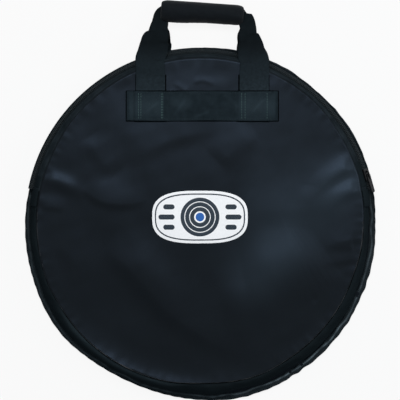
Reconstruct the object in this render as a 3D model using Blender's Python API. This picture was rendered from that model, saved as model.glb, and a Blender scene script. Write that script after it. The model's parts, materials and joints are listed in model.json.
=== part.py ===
"""Round padded cymbal bag, lying on its back with its zip closed.

The origin is the centre of the back panel on the surface that it lies on. +Z is up, out of the front
panel, and +Y runs from the middle of the bag to its handles. Lengths are in metres.
"""
import math

import bmesh
import bpy
from mathutils import Vector

# Driving dimensions of the bag
outside_radius = 0.300
seam_height = 0.0440
crown_rise = 0.0050
fit_gap = 0.0003
ring_step_deg = 7.2
step_merge_deg = 0.5
crease_angle_deg = 35.0

# How far inside the bag's outside radius the seams and walls lie
front_panel_inset = 0.0277
gusset_inset = 0.0015
zip_inset = 0.0090
front_panel_radius = outside_radius - front_panel_inset
gusset_radius = outside_radius - gusset_inset
zip_radius = outside_radius - zip_inset

# Layers of the padded walls
cloth_thickness = 0.0010
foam_thickness = 0.0050
lining_thickness = 0.0006
front_padding_setback = 0.0060
back_padding_inset = 0.0120

# Webbing straps and the strip sewn across them
handle_centre_x = 0.003
webbing_width = 0.0490
webbing_thickness = 0.0018
strap_spacing = 0.174
cross_strip_length = 0.254
cross_strip_width = 0.0492
cross_strip_inset = 0.1026
strap_tuck = 0.0475
strip_drop_length = 0.0080
cross_strip_y = outside_radius - cross_strip_inset
strap_start_y = cross_strip_y + cross_strip_width / 2.0 - strap_tuck

# The back panel is flat in the middle and lies higher at its rim, over two layers of webbing
rest_radius = 0.150
rim_ramp = 0.020
rim_lift_radius = rest_radius + rim_ramp
rim_lift = 2.0 * (webbing_thickness + fit_gap)

# Tape folded over the back seam, and the tape on the front seam inside
binding_width = 0.0080
binding_thickness = 0.0026
inner_binding_thickness = 0.0024

# The fold across the front panel, which the lid turns about
fold_y = 0.098
fold_axis_clearance = 0.0010
fold_axis_z = seam_height + crown_rise + fold_axis_clearance
fold_margin = 0.005

# Zip: its middle line in the section of the bag, its coils and tapes
zip_height = 0.0225
zip_slope_deg = 45.0
zip_end_to_fold = 0.040
zip_end_y = fold_y - zip_end_to_fold
zip_opening_half = 0.0085
coil_gap_half = 0.0006
coil_width = 0.0040
coil_height = 0.0030
coil_pitch = 0.0060
tape_thickness = 0.0010
tape_edge = 0.0010
tape_flat_half = 0.0064
strip_thickness = 0.0016
back_strip_bulge = 0.0011
lid_chain_clearance = 0.0100

# Tabs sewn over the two zip ends
end_tab_length = 0.026
end_tab_thickness = 0.0014

# Padded grip of two half pads
grip_reach = 0.058
grip_length = 0.140
grip_radius = 0.0175
grip_tilt_deg = -4.0
grip_channel_half = 0.0117
grip_end_length = 0.0040
grip_wall_half_length = 0.042
grip_wall_slope = 0.0020
grip_open_height = 0.0046
hook_tape_width = 0.0050
hook_tape_thickness = 0.0012
hook_tape_half_length = 0.040
grip_y = outside_radius + grip_reach

# Handle loops: where they leave the straps, run level over or under the rim, and settle in the grip
front_hinge_inset = 0.057
front_leg_inset = 0.038
front_leg_rise = 0.0014
back_hinge_inset = 0.038
back_leg_inset = 0.003
leg_settle_reach = 0.020
folded_webbing_thickness = 0.0036
front_hinge_y = outside_radius - front_hinge_inset
front_leg_level_y = outside_radius - front_leg_inset
front_leg_height = seam_height + front_leg_rise
back_hinge_y = outside_radius - back_hinge_inset
back_leg_level_y = outside_radius - back_leg_inset
leg_settle_y = grip_y - leg_settle_reach

# Zip slider, measured across the zip (w), out of it (n) and along it (t)
slider_park_margin = 0.0154
slider_length = 0.0200
slider_clearance = 0.0004
slider_back_clearance = 0.0008
slider_plate = 0.0015
slider_flange = 0.0012
slider_flare = 0.0004
slider_post_half = 0.0003
slider_park_y = fold_y - slider_park_margin
crown_length = 0.0130
crown_height = 0.0038
crown_half_width = 0.0009
crown_opening_height = 0.0024
crown_opening_length = 0.0060
crown_overlap = 0.0004

# Pull tab
tab_length = 0.0330
tab_width = 0.0090
tab_thickness = 0.0014
tab_axis_height = 0.0012
tab_arm_gap_half = 0.0017
tab_window_length = 0.0090
cut_overrun = 0.0050

# Shares of the spans that the outlines follow
panel_ring_shares = (0.5, 0.85)
gusset_shares = (
    (0.00, 1.00), (0.30, 0.93), (0.56, 0.77), (0.78, 0.53), (0.93, 0.27), (1.00, 0.09), (0.96, 0.00),
)
front_strip_shares = ((0.00, 1.00), (0.45, 0.80), (0.80, 0.42), (1.00, 0.00))
back_strip_shares = ((0.00, 1.00), (1.00, 0.50), (1.00, 0.25), (0.40, 0.00))
leg_shares = (
    (0.00, 1.00, 1.00), (0.14, 1.00, 1.00), (0.30, 0.985, 1.00), (0.45, 0.96, 0.97), (0.57, 0.925, 0.86),
    (0.68, 0.87, 0.67), (0.76, 0.83, 0.56), (0.84, 0.80, 0.49), (0.93, 0.765, 0.46), (0.985, 0.66, 0.45),
    (1.00, 0.49, 0.44), (1.00, 0.25, 0.44), (1.00, 0.00, 0.44),
)
slider_taper_shares = ((-0.50, 0.55), (-0.36, 0.90), (0.05, 1.00), (0.36, 1.00), (0.50, 0.65))
mitre_limit_share = 0.5
grip_end_share = 0.80
grip_arc_count = 11
coil_valley_share = 0.55
slider_shoulder_share = 0.6
slider_low_flange_share = 0.5
crown_shoulder_share = 0.35
crown_top_share = 0.72
tab_corner_share = 0.22
tab_end_share = 0.86
binding_round_share = 0.33


def make_material(name, colour, roughness, metallic=0.0):
    """A plain finish in the colour of the piece."""
    material = bpy.data.materials.new(name)
    material.use_nodes = True
    shader = material.node_tree.nodes["Principled BSDF"]
    shader.inputs["Base Color"].default_value = (*colour, 1.0)
    shader.inputs["Roughness"].default_value = roughness
    shader.inputs["Metallic"].default_value = metallic
    material.diffuse_color = (*colour, 1.0)
    return material


def add_object(name, bm, finish):
    """Turn a bmesh into a named object."""
    bmesh.ops.recalc_face_normals(bm, faces=bm.faces)
    mesh = bpy.data.meshes.new(name)
    bm.to_mesh(mesh)
    bm.free()
    mesh.materials.append(make_material(name, *finish))
    mesh.shade_smooth()
    mesh.set_sharp_from_angle(angle=math.radians(crease_angle_deg))
    piece = bpy.data.objects.new(name, mesh)
    bpy.context.scene.collection.objects.link(piece)
    return piece


def loft(bm, rings, closed=False):
    """Join rings of points into a skin, capped at its ends unless it closes on itself."""
    loops = [[bm.verts.new(point) for point in ring] for ring in rings]
    count = len(loops[0])
    pairs = list(zip(loops, loops[1:]))
    if closed:
        pairs.append((loops[-1], loops[0]))
    for first, second in pairs:
        for i in range(count):
            j = (i + 1) % count
            bm.faces.new((first[i], first[j], second[j], second[i]))
    if not closed:
        bm.faces.new(loops[0])
        bm.faces.new(loops[-1])


def stations(start_deg, end_deg):
    """Azimuths from start to end that share the whole bag's regular steps."""
    first = math.floor(start_deg / ring_step_deg) + 1
    inner = []
    index = first
    while index * ring_step_deg < end_deg - step_merge_deg:
        if index * ring_step_deg > start_deg + step_merge_deg:
            inner.append(index * ring_step_deg)
        index += 1
    return [start_deg] + inner + [end_deg]


def turned(section, azimuth_deg):
    """The points of a section of radii and heights, turned to an azimuth."""
    angle = math.radians(azimuth_deg)
    return [(r * math.cos(angle), r * math.sin(angle), z) for r, z in section]


def cut_across(bm, y, keep_beyond):
    """Cut a solid straight across the bag and close the cut."""
    geometry = bm.verts[:] + bm.edges[:] + bm.faces[:]
    bmesh.ops.bisect_plane(
        bm, geom=geometry, plane_co=(0, y, 0), plane_no=(0, 1, 0),
        clear_inner=keep_beyond, clear_outer=not keep_beyond,
    )
    bmesh.ops.holes_fill(bm, edges=[edge for edge in bm.edges if edge.is_boundary])


def arc_solid(name, section, start_deg, end_deg, finish, cut_y=None, keep_beyond=True):
    """A section swept round the bag from one azimuth to another."""
    bm = bmesh.new()
    loft(bm, [turned(section, azimuth) for azimuth in stations(start_deg, end_deg)])
    if cut_y is not None:
        cut_across(bm, cut_y, keep_beyond)
    return add_object(name, bm, finish)


def ring_solid(name, section, finish):
    """A section swept all the way round the bag."""
    steps = round(360.0 / ring_step_deg)
    bm = bmesh.new()
    loft(bm, [turned(section, i * ring_step_deg) for i in range(steps)], closed=True)
    return add_object(name, bm, finish)


def disc_solid(name, radii, top_at, bottom_at, finish, cut_y=None, keep_beyond=True):
    """A round panel whose top and bottom heights depend on the radius."""
    steps = round(360.0 / ring_step_deg)
    bm = bmesh.new()
    sides = []
    for height_at in (top_at, bottom_at):
        centre = bm.verts.new((0, 0, height_at(0.0)))
        rings = []
        for radius in radii:
            section = [(radius, height_at(radius))]
            rings.append([bm.verts.new(turned(section, i * ring_step_deg)[0]) for i in range(steps)])
        for i in range(steps):
            j = (i + 1) % steps
            bm.faces.new((centre, rings[0][i], rings[0][j]))
            for inner, outer in zip(rings, rings[1:]):
                bm.faces.new((inner[i], outer[i], outer[j], inner[j]))
        sides.append(rings[-1])
    for i in range(steps):
        j = (i + 1) % steps
        bm.faces.new((sides[0][i], sides[1][i], sides[1][j], sides[0][j]))
    if cut_y is not None:
        cut_across(bm, cut_y, keep_beyond)
    return add_object(name, bm, finish)


def offset_line(line, distance):
    """Move a line of the section towards the inside of the bag, or outwards if negative."""
    moved = []
    for i, point in enumerate(line):
        before = Vector(line[max(i - 1, 0)])
        after = Vector(line[min(i + 1, len(line) - 1)])
        here = Vector(point)
        steps = [step.normalized() for step in (here - before, after - here) if step.length > 0]
        along = sum(steps, Vector((0.0, 0.0))).normalized()
        inward = Vector((along.y, -along.x))
        stretch = 1.0 / max(inward.dot(Vector((steps[0].y, -steps[0].x))), mitre_limit_share)
        moved.append(tuple(here + inward * distance * stretch))
    return moved


def layer(line, near, far, first=0, last=None):
    """The section between two depths under a line, or under the stretch of it from first to last."""
    return offset_line(line, near)[first:last] + offset_line(line, far)[first:last][::-1]


def spread(shares, radius_0, radius_1, height_0, height_1):
    """An outline from shares of a radial span and a height span."""
    return [
        (radius_0 + out * (radius_1 - radius_0), height_0 + up * (height_1 - height_0))
        for out, up in shares
    ]


def zip_point(across, out):
    """Radius and height of a point in the zip's own section."""
    slope = math.radians(zip_slope_deg)
    radius = zip_radius + across * math.cos(slope) + out * math.sin(slope)
    height = zip_height - across * math.sin(slope) + out * math.cos(slope)
    return radius, height


def azimuth_at(radius, y):
    """Azimuth in degrees where a circle of this radius crosses a line across the bag."""
    return math.degrees(math.asin(y / radius))


def front_top(radius):
    """Height of the front panel's outer face."""
    return seam_height + crown_rise * (1.0 - (radius / front_panel_radius) ** 2)


def back_under(radius):
    """Height of the back panel's outer face, which dishes up towards the rim."""
    if radius <= rest_radius:
        return 0.0
    return rim_lift * min((radius - rest_radius) / (rim_lift_radius - rest_radius), 1.0)


# Heights and lines that several pieces share
binding_top = rim_lift + binding_thickness
gusset_foot = binding_top + fit_gap
side_line = spread(
    gusset_shares, front_panel_radius + fit_gap, gusset_radius, gusset_foot, seam_height - fit_gap
)
window_out = strip_thickness + fit_gap
front_window = zip_point(-zip_opening_half, window_out)
back_window = zip_point(zip_opening_half, window_out)
front_strip_line = spread(
    front_strip_shares, front_panel_radius + 2.0 * fit_gap, front_window[0],
    front_window[1], seam_height - fit_gap,
)
back_strip_line = spread(
    back_strip_shares, back_window[0], back_window[0] + back_strip_bulge, gusset_foot, back_window[1]
)
zip_end_deg = azimuth_at(zip_radius, zip_end_y)
zip_end_gap_deg = math.degrees(fit_gap / zip_radius)

cloth = ((0.014, 0.017, 0.021), 0.62)
side_cloth = ((0.008, 0.009, 0.011), 0.78)
foam = ((0.16, 0.16, 0.17), 0.95)
lining = ((0.045, 0.048, 0.052), 0.70)
tape = ((0.012, 0.014, 0.016), 0.85)
coil = ((0.010, 0.011, 0.012), 0.42)
webbing = ((0.016, 0.020, 0.025), 0.80)
pad_cloth = ((0.012, 0.014, 0.016), 0.75)
hook_tape = ((0.010, 0.010, 0.011), 0.95)
metal = ((0.05, 0.05, 0.055), 0.38, 0.9)


def make_back_panel():
    """Cloth, foam and lining of the panel that the bag lies on."""
    depth = 0.0
    layers = (
        ("back_panel_outer", cloth_thickness, outside_radius - binding_width - fit_gap, cloth),
        ("back_panel_foam", foam_thickness, outside_radius - back_padding_inset, foam),
        ("back_panel_lining", lining_thickness, outside_radius - back_padding_inset, lining),
    )
    for name, thickness, radius, finish in layers:
        low = depth
        high = depth + thickness
        disc_solid(
            name, (rest_radius, rim_lift_radius, radius),
            lambda r, rise=high: back_under(r) + rise, lambda r, rise=low: back_under(r) + rise, finish,
        )
        depth = high + fit_gap


def make_back_binding():
    """Tape folded over the seam of the back panel and the gusset."""
    inner = outside_radius - binding_width
    round_off = binding_thickness * binding_round_share
    section = [
        (inner, rim_lift), (outside_radius - round_off, rim_lift), (outside_radius, rim_lift + round_off),
        (outside_radius, binding_top - round_off), (outside_radius - round_off, binding_top),
        (inner, binding_top),
    ]
    ring_solid("back_seam_binding", section, tape)


def make_front_panel(part, keep_beyond):
    """Cloth, foam and lining of the front panel on one side of the fold."""
    cut_y = fold_y + fit_gap / 2.0 if keep_beyond else fold_y - fit_gap / 2.0
    inner_rings = tuple(share * front_panel_radius for share in panel_ring_shares)
    padding_radius = front_panel_radius - front_padding_setback
    depth = 0.0
    layers = (
        ("outer", cloth_thickness, front_panel_radius, cloth),
        ("foam", foam_thickness, padding_radius, foam),
        ("lining", lining_thickness, padding_radius, lining),
    )
    for layer_name, thickness, radius, finish in layers:
        high = depth
        low = depth + thickness
        disc_solid(
            "front_panel_" + part + "_" + layer_name, inner_rings + (radius,),
            lambda r, drop=high: front_top(r) - drop, lambda r, drop=low: front_top(r) - drop,
            finish, cut_y, keep_beyond,
        )
        depth = low + fit_gap


def make_lower_gusset():
    """Cloth, foam and lining of the side wall round the lower half, between the zip ends."""
    start = 180.0 - zip_end_deg + zip_end_gap_deg
    end = 360.0 + zip_end_deg - zip_end_gap_deg
    foam_depth = cloth_thickness + fit_gap
    lining_depth = foam_depth + foam_thickness + fit_gap
    inner_depth = lining_depth + lining_thickness
    arc_solid("lower_gusset_outer", layer(side_line, 0.0, cloth_thickness), start, end, side_cloth)
    foam_section = layer(side_line, foam_depth, foam_depth + foam_thickness, 0, -1)
    lining_section = layer(side_line, lining_depth, inner_depth, 0, -1)
    arc_solid("lower_gusset_foam", foam_section, start, end, foam)
    arc_solid("lower_gusset_lining", lining_section, start, end, lining)
    near = inner_depth + fit_gap
    far = near + inner_binding_thickness
    binding_section = layer(side_line, near, far, 0, 2)
    arc_solid("front_seam_binding_lower", binding_section, start, end, tape)


def make_lid_edge():
    """The strip between the front panel and the zip, and the binding on its seam."""
    start = zip_end_deg
    end = 180.0 - zip_end_deg
    cut_y = fold_y + fit_gap / 2.0
    section = layer(front_strip_line, 0.0, strip_thickness)
    arc_solid("zip_gusset_front_strip", section, start, end, side_cloth, cut_y)
    near = strip_thickness + fit_gap
    far = near + inner_binding_thickness
    binding_section = layer(front_strip_line, near, far, 0, 2)
    arc_solid("front_seam_binding_upper", binding_section, start, end, tape, cut_y)


def tape_section(side):
    """Section of one zip tape: flat beside the coil, then behind its strip."""
    depth = strip_thickness + fit_gap
    if side < 0:
        behind = offset_line(front_strip_line, depth)[2:]
        outer = behind + [zip_point(-tape_flat_half, 0.0), zip_point(-tape_edge, 0.0)]
    else:
        behind = offset_line(back_strip_line, depth)[1:3]
        outer = [zip_point(tape_edge, 0.0), zip_point(tape_flat_half, 0.0)] + behind
    return outer + offset_line(outer, tape_thickness)[::-1]


def coil_section(side, height):
    """Section of one coil half, at a crest or in a valley."""
    near = side * coil_gap_half
    far = side * (coil_gap_half + coil_width * height / coil_height)
    return [
        zip_point(near, fit_gap), zip_point(far, fit_gap),
        zip_point(far, fit_gap + height), zip_point(near, fit_gap + height),
    ]


def coil_solid(name, side, start_deg, end_deg, cut_y=None, keep_beyond=True):
    """One half of the zip's coil, with a crest for each turn of it."""
    turns = round(math.radians(end_deg - start_deg) * zip_radius / coil_pitch)
    step = (end_deg - start_deg) / (2 * turns)
    valley = coil_height * coil_valley_share
    rings = []
    for i in range(2 * turns + 1):
        height = coil_height if i % 2 else valley
        rings.append(turned(coil_section(side, height), start_deg + i * step))
    bm = bmesh.new()
    loft(bm, rings)
    if cut_y is not None:
        cut_across(bm, cut_y, keep_beyond)
    return add_object(name, bm, coil)


def make_zip():
    """Back strip, both tapes and both coil halves."""
    start = zip_end_deg
    end = 180.0 - zip_end_deg
    lid_y = fold_y + lid_chain_clearance
    arc_solid(
        "zip_gusset_back_strip", layer(back_strip_line, 0.0, strip_thickness), start, end, side_cloth
    )
    arc_solid("zip_tape_back", tape_section(1), start, end, tape)
    arc_solid("zip_tape_front", tape_section(-1), start, end, tape, lid_y)
    coil_solid("zip_coil_back", 1, start, end)
    coil_solid("zip_coil_front", -1, start, end, lid_y)


def make_zip_front_ends():
    """The front half of the zip past the fold: strip and tape sewn as one, and the end of the coil."""
    fold_deg = azimuth_at(front_panel_radius, fold_y) + math.degrees(fold_margin / front_panel_radius)
    cut_y = fold_y - fit_gap / 2.0
    depth = strip_thickness + fit_gap + tape_thickness
    surface = [
        zip_point(-zip_opening_half, 0.0), zip_point(-tape_edge, 0.0),
        zip_point(-tape_edge, -tape_thickness), zip_point(-tape_flat_half, -tape_thickness),
    ]
    section = front_strip_line + surface + offset_line(front_strip_line, depth)[::-1]
    sides = (("right", zip_end_deg, fold_deg), ("left", 180.0 - fold_deg, 180.0 - zip_end_deg))
    for side_name, start, end in sides:
        arc_solid("zip_front_end_" + side_name, section, start, end, tape, cut_y, False)
        coil_solid("zip_coil_end_" + side_name, -1, start, end, cut_y, False)


def make_zip_end_tabs():
    """Tabs sewn over the gusset where the zip stops."""
    section = layer(side_line, -fit_gap, -fit_gap - end_tab_thickness, 1, -1)
    span = math.degrees(end_tab_length / gusset_radius)
    end = zip_end_deg - zip_end_gap_deg
    arc_solid("zip_end_tab_right", section, end - span, end, webbing)
    arc_solid("zip_end_tab_left", section, 180.0 - end, 180.0 - end + span, webbing)


def sheet_solid(name, xs, ys, under_at, thickness, finish):
    """Webbing laid over a surface: a thin solid on a grid, whose underside follows that surface."""
    bm = bmesh.new()
    grids = []
    for rise in (0.0, thickness):
        grids.append([[bm.verts.new((x, y, under_at(x, y) + rise)) for x in xs] for y in ys])
    low, high = grids
    last_x = len(xs) - 1
    last_y = len(ys) - 1
    for row in range(last_y):
        for column in range(last_x):
            for grid in grids:
                bm.faces.new((
                    grid[row][column], grid[row][column + 1],
                    grid[row + 1][column + 1], grid[row + 1][column],
                ))
    border = [(0, column) for column in range(last_x)]
    border += [(row, last_x) for row in range(last_y)]
    border += [(last_y, column) for column in range(last_x, 0, -1)]
    border += [(row, 0) for row in range(last_y, 0, -1)]
    for (row_a, column_a), (row_b, column_b) in zip(border, border[1:] + border[:1]):
        bm.faces.new((
            low[row_a][column_a], low[row_b][column_b], high[row_b][column_b], high[row_a][column_a],
        ))
    return add_object(name, bm, finish)


def even_steps(start, end, count):
    """Places from start to end in even steps."""
    return [start + (end - start) * i / count for i in range(count + 1)]


def strap_x(side):
    """Middle of the left or right strap."""
    return handle_centre_x + side * strap_spacing / 2.0


def cross_strip_columns():
    """Places across the cross strip: its ends, and where it climbs on and off each strap."""
    half = webbing_width / 2.0
    places = [handle_centre_x - cross_strip_length / 2.0]
    for side in (-1, 1):
        middle = strap_x(side)
        places += [
            middle - half - strip_drop_length, middle - half, middle, middle + half,
            middle + half + strip_drop_length,
        ]
    places.append(handle_centre_x + cross_strip_length / 2.0)
    return sorted(places)


def strap_lift(x):
    """How far the cross strip lies over its ground, because a strap is under it."""
    beyond = min(abs(x - strap_x(side)) for side in (-1, 1)) - webbing_width / 2.0
    share = 1.0 - min(max(beyond / strip_drop_length, 0.0), 1.0)
    return share * (webbing_thickness + fit_gap)


def make_front_webbing():
    """Two straps and the cross strip sewn on the front panel."""
    def ground(x, y):
        return front_top(math.hypot(x, y)) + fit_gap

    for side, side_name in ((-1, "left"), (1, "right")):
        xs = even_steps(strap_x(side) - webbing_width / 2.0, strap_x(side) + webbing_width / 2.0, 2)
        ys = even_steps(strap_start_y, front_hinge_y - fit_gap / 2.0, 4)
        sheet_solid("front_strap_" + side_name, xs, ys, ground, webbing_thickness, webbing)
    low_y = cross_strip_y - cross_strip_width / 2.0
    ys = even_steps(low_y, low_y + cross_strip_width, 2)
    sheet_solid(
        "front_cross_strip", cross_strip_columns(), ys,
        lambda x, y: ground(x, y) + strap_lift(x), webbing_thickness, webbing,
    )


def make_back_webbing():
    """Two straps and the cross strip under the rim of the back panel."""
    strap_under = rim_lift - fit_gap - webbing_thickness
    for side, side_name in ((-1, "left"), (1, "right")):
        xs = even_steps(strap_x(side) - webbing_width / 2.0, strap_x(side) + webbing_width / 2.0, 1)
        ys = even_steps(strap_start_y, back_hinge_y - fit_gap / 2.0, 1)
        sheet_solid(
            "back_strap_" + side_name, xs, ys, lambda x, y: strap_under, webbing_thickness, webbing
        )
    low_y = cross_strip_y - cross_strip_width / 2.0
    ys = even_steps(low_y, low_y + cross_strip_width, 1)
    strip_under = strap_under - fit_gap - webbing_thickness
    sheet_solid(
        "back_cross_strip", cross_strip_columns(), ys,
        lambda x, y: strip_under + webbing_thickness + fit_gap - strap_lift(x), webbing_thickness, webbing,
    )


def smooth_step(value, low, high):
    """A share from 0 to 1 that starts and ends level."""
    share = min(max((value - low) / (high - low), 0.0), 1.0)
    return share * share * (3.0 - 2.0 * share)


def smooth_table(table, per_span):
    """Read a table of shares along a smooth curve through its rows."""
    rows = []
    last = len(table) - 1
    for i in range(last):
        before, here, after, beyond = (table[min(max(k, 0), last)] for k in (i - 1, i, i + 1, i + 2))
        for step in range(per_span):
            s = step / per_span
            rows.append(tuple(
                0.5 * (2 * b + (c - a) * s + (2 * a - 5 * b + 4 * c - d) * s * s
                       + (3 * b - a - 3 * c + d) * s * s * s)
                for a, b, c, d in zip(before, here, after, beyond)
            ))
    rows.append(table[-1])
    return rows


def loop_path(hinge_y):
    """Middle line and half width of a handle loop in plan, from the left foot to the right foot."""
    slope = math.tan(math.radians(grip_tilt_deg))
    rows = smooth_table(leg_shares, 2)
    left = []
    right = []
    for reach_share, spread_share, width_share in rows:
        for side, points in ((-1, left), (1, right)):
            offset = side * spread_share * strap_spacing / 2.0
            reach = grip_y - hinge_y + offset * slope
            x = handle_centre_x + offset
            y = hinge_y + fit_gap / 2.0 + reach_share * reach
            points.append((x, y, width_share * webbing_width / 2.0))
    return left + right[-2::-1]


def loop_solid(name, hinge_y, height_at):
    """A webbing loop: legs that run from their straps and turn into the grip."""
    path = loop_path(hinge_y)
    last = len(path) - 1
    rings = []
    for i, (x, y, half) in enumerate(path):
        before = path[max(i - 1, 0)]
        after = path[min(i + 1, last)]
        along = Vector((after[0] - before[0], after[1] - before[1])).normalized()
        if i in (0, last):
            along = Vector((0.0, 1.0 if i == 0 else -1.0))
        across = Vector((along.y, -along.x)) * half
        z = height_at(y)
        rise = loop_thickness(y) / 2.0
        rings.append([
            (x - across.x, y - across.y, z - rise), (x + across.x, y + across.y, z - rise),
            (x + across.x, y + across.y, z + rise), (x - across.x, y - across.y, z + rise),
        ])
    bm = bmesh.new()
    loft(bm, rings)
    return add_object(name, bm, webbing)


def loop_thickness(y):
    """Webbing thickness along a leg, which doubles where it is folded."""
    share = smooth_step(y, back_leg_level_y, leg_settle_y)
    return webbing_thickness + share * (folded_webbing_thickness - webbing_thickness)


def grip_loop_height(side):
    """Height of the webbing inside the grip, above or below the plane where its halves meet."""
    return grip_radius + side * (fit_gap + folded_webbing_thickness / 2.0)


def front_loop_height(y):
    """Middle height of the front loop: level over the panel's rim, then down to the grip."""
    start = front_leg_height + webbing_thickness / 2.0
    return start + smooth_step(y, front_leg_level_y, leg_settle_y) * (grip_loop_height(1) - start)


def back_loop_height(y):
    """Middle height of the back loop: level under the rim, then up to the grip."""
    start = rim_lift - fit_gap - webbing_thickness / 2.0
    return start + smooth_step(y, back_leg_level_y, leg_settle_y) * (grip_loop_height(-1) - start)


def grip_section(wall_height, scale):
    """Half a grip: a half circle with a channel for the webbing, open at the plane of the halves."""
    half_gap = fit_gap / 2.0
    ceiling = 2.0 * fit_gap + folded_webbing_thickness
    radius = grip_radius * scale
    first = math.asin(half_gap / radius)
    last = math.pi - math.asin(wall_height / radius)
    points = []
    for i in range(grip_arc_count + 1):
        angle = first + (last - first) * i / grip_arc_count
        points.append((radius * math.cos(angle), radius * math.sin(angle)))
    points += [(-grip_channel_half, wall_height), (-grip_channel_half, max(ceiling, wall_height + fit_gap))]
    points += [(grip_channel_half, ceiling), (grip_channel_half, half_gap)]
    return points


def grip_point(along, across, up):
    """A point of the grip, from the middle of its axis."""
    tilt = math.radians(grip_tilt_deg)
    x = handle_centre_x + along * math.cos(tilt) - across * math.sin(tilt)
    y = grip_y + along * math.sin(tilt) + across * math.cos(tilt)
    return x, y, grip_radius + up


def make_grip_pad(name, side):
    """One half of the padded grip, whose lower wall stops where the webbing legs come out."""
    half_gap = fit_gap / 2.0
    half = grip_length / 2.0
    tape_wall = half_gap + hook_tape_thickness + fit_gap
    profile = [
        (half, grip_open_height, grip_end_share),
        (half - grip_end_length, grip_open_height, 1.0),
        (grip_wall_half_length + grip_wall_slope, grip_open_height, 1.0),
        (grip_wall_half_length, tape_wall, 1.0),
    ]
    places = [(-along, wall, scale) for along, wall, scale in profile] + profile[::-1]
    rings = []
    for along, wall, scale in places:
        section = grip_section(wall, scale)
        rings.append([grip_point(along, across, side * up) for across, up in section])
    bm = bmesh.new()
    loft(bm, rings)
    return add_object(name, bm, pad_cloth)


def make_grip_tape(name, side):
    """Hook or loop tape on the lower wall, where the grip closes round the webbing."""
    half_gap = fit_gap / 2.0
    outer = -math.sqrt(grip_radius ** 2 - (half_gap + hook_tape_thickness) ** 2) + fit_gap
    inner = outer + hook_tape_width
    corners = [
        (outer, half_gap), (inner, half_gap),
        (inner, half_gap + hook_tape_thickness), (outer, half_gap + hook_tape_thickness),
    ]
    rings = []
    for along in (-hook_tape_half_length, hook_tape_half_length):
        rings.append([grip_point(along, across, side * up) for across, up in corners])
    bm = bmesh.new()
    loft(bm, rings)
    return add_object(name, bm, hook_tape)


def make_handles():
    """The front and back loops with their halves of the grip."""
    loop_solid("front_handle_webbing", front_hinge_y, front_loop_height)
    loop_solid("back_handle_webbing", back_hinge_y, back_loop_height)
    make_grip_pad("grip_pad_front", 1)
    make_grip_pad("grip_pad_back", -1)
    make_grip_tape("grip_loop_tape", 1)
    make_grip_tape("grip_hook_tape", -1)


def slider_space(across, out, along):
    """A point on the slider, which is parked on the right end of the zip."""
    azimuth = math.asin(slider_park_y / zip_radius)
    radius, height = zip_point(across, out)
    x = radius * math.cos(azimuth) - along * math.sin(azimuth)
    y = radius * math.sin(azimuth) + along * math.cos(azimuth)
    return x, y, height


slider_top_inner = fit_gap + coil_height + slider_clearance
slider_top = slider_top_inner + slider_plate
slider_low_inner = -tape_thickness - slider_back_clearance
tab_axis_out = slider_top + tab_axis_height


def slider_section(flare):
    """Two plates joined by a thin post, with flanges that hold the coils from outside."""
    inner = coil_gap_half + coil_width + slider_clearance
    outer = inner + slider_flange + slider_flare * flare
    bevel = slider_plate * slider_shoulder_share
    low_outer = inner + slider_flange * slider_low_flange_share
    low = slider_low_inner - slider_plate
    flange_foot = slider_clearance
    right = [
        (outer - bevel, slider_top), (outer, slider_top - bevel), (outer, flange_foot),
        (inner, flange_foot), (inner, slider_top_inner), (slider_post_half, slider_top_inner),
        (slider_post_half, slider_low_inner), (low_outer, slider_low_inner), (low_outer, low),
    ]
    return right + [(-across, out) for across, out in right[::-1]]


def cutter(name, bm):
    """A shape that only cuts or joins another one."""
    piece = add_object(name, bm, metal)
    piece.hide_render = True
    piece.display_type = "WIRE"
    return piece


def join_shape(piece, other, operation):
    """Add a Boolean of another shape to a piece."""
    modifier = piece.modifiers.new(operation.lower(), "BOOLEAN")
    modifier.object = other
    modifier.operation = operation
    modifier.solver = "EXACT"


def crown_outline():
    """The arch on the slider that holds the pull tab, seen from the side."""
    half = crown_length / 2.0
    hole = crown_opening_length / 2.0
    foot = slider_top - crown_overlap
    top = slider_top + crown_height
    ceiling = slider_top + crown_opening_height
    shoulder = slider_top + crown_height * crown_shoulder_share
    return [
        (half, foot), (half, shoulder), (half * crown_top_share, top), (-half * crown_top_share, top),
        (-half, shoulder), (-half, foot), (-hole, foot), (-hole, ceiling), (hole, ceiling), (hole, foot),
    ]


def make_slider():
    """Zip slider with the arch for its pull tab."""
    bm = bmesh.new()
    rings = []
    for along_share, flare_share in slider_taper_shares:
        section = slider_section(flare_share)
        rings.append([slider_space(across, out, along_share * slider_length) for across, out in section])
    loft(bm, rings)
    slider = add_object("zip_slider", bm, metal)
    bm = bmesh.new()
    outline = crown_outline()
    loft(bm, [
        [slider_space(across, out, along) for along, out in outline]
        for across in (-crown_half_width, crown_half_width)
    ])
    join_shape(slider, cutter("slider_crown_shape", bm), "UNION")


def make_pull_tab():
    """Pull tab that hangs from the slider's arch by its crossbar."""
    half_width = tab_width / 2.0
    half_thickness = tab_thickness / 2.0
    far = -(tab_length - tab_thickness / 2.0)
    corner = tab_width * tab_corner_share
    end_half = half_width * tab_end_share
    outline = [
        (half_width - corner, half_thickness), (half_width, half_thickness - corner),
        (end_half, far + corner), (end_half - corner, far), (-end_half + corner, far),
        (-end_half, far + corner), (-half_width, half_thickness - corner),
        (-half_width + corner, half_thickness),
    ]
    low = tab_axis_out - half_thickness
    high = tab_axis_out + half_thickness
    bm = bmesh.new()
    loft(bm, [[slider_space(across, out, along) for across, along in outline] for out in (low, high)])
    tab = add_object("pull_tab", bm, metal)
    window = [
        (tab_arm_gap_half, -half_thickness), (tab_arm_gap_half, -tab_window_length),
        (-tab_arm_gap_half, -tab_window_length), (-tab_arm_gap_half, -half_thickness),
    ]
    bm = bmesh.new()
    loft(bm, [
        [slider_space(across, out, along) for across, along in window]
        for out in (low - cut_overrun, high + cut_overrun)
    ])
    join_shape(tab, cutter("tab_window_shape", bm), "DIFFERENCE")


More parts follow.
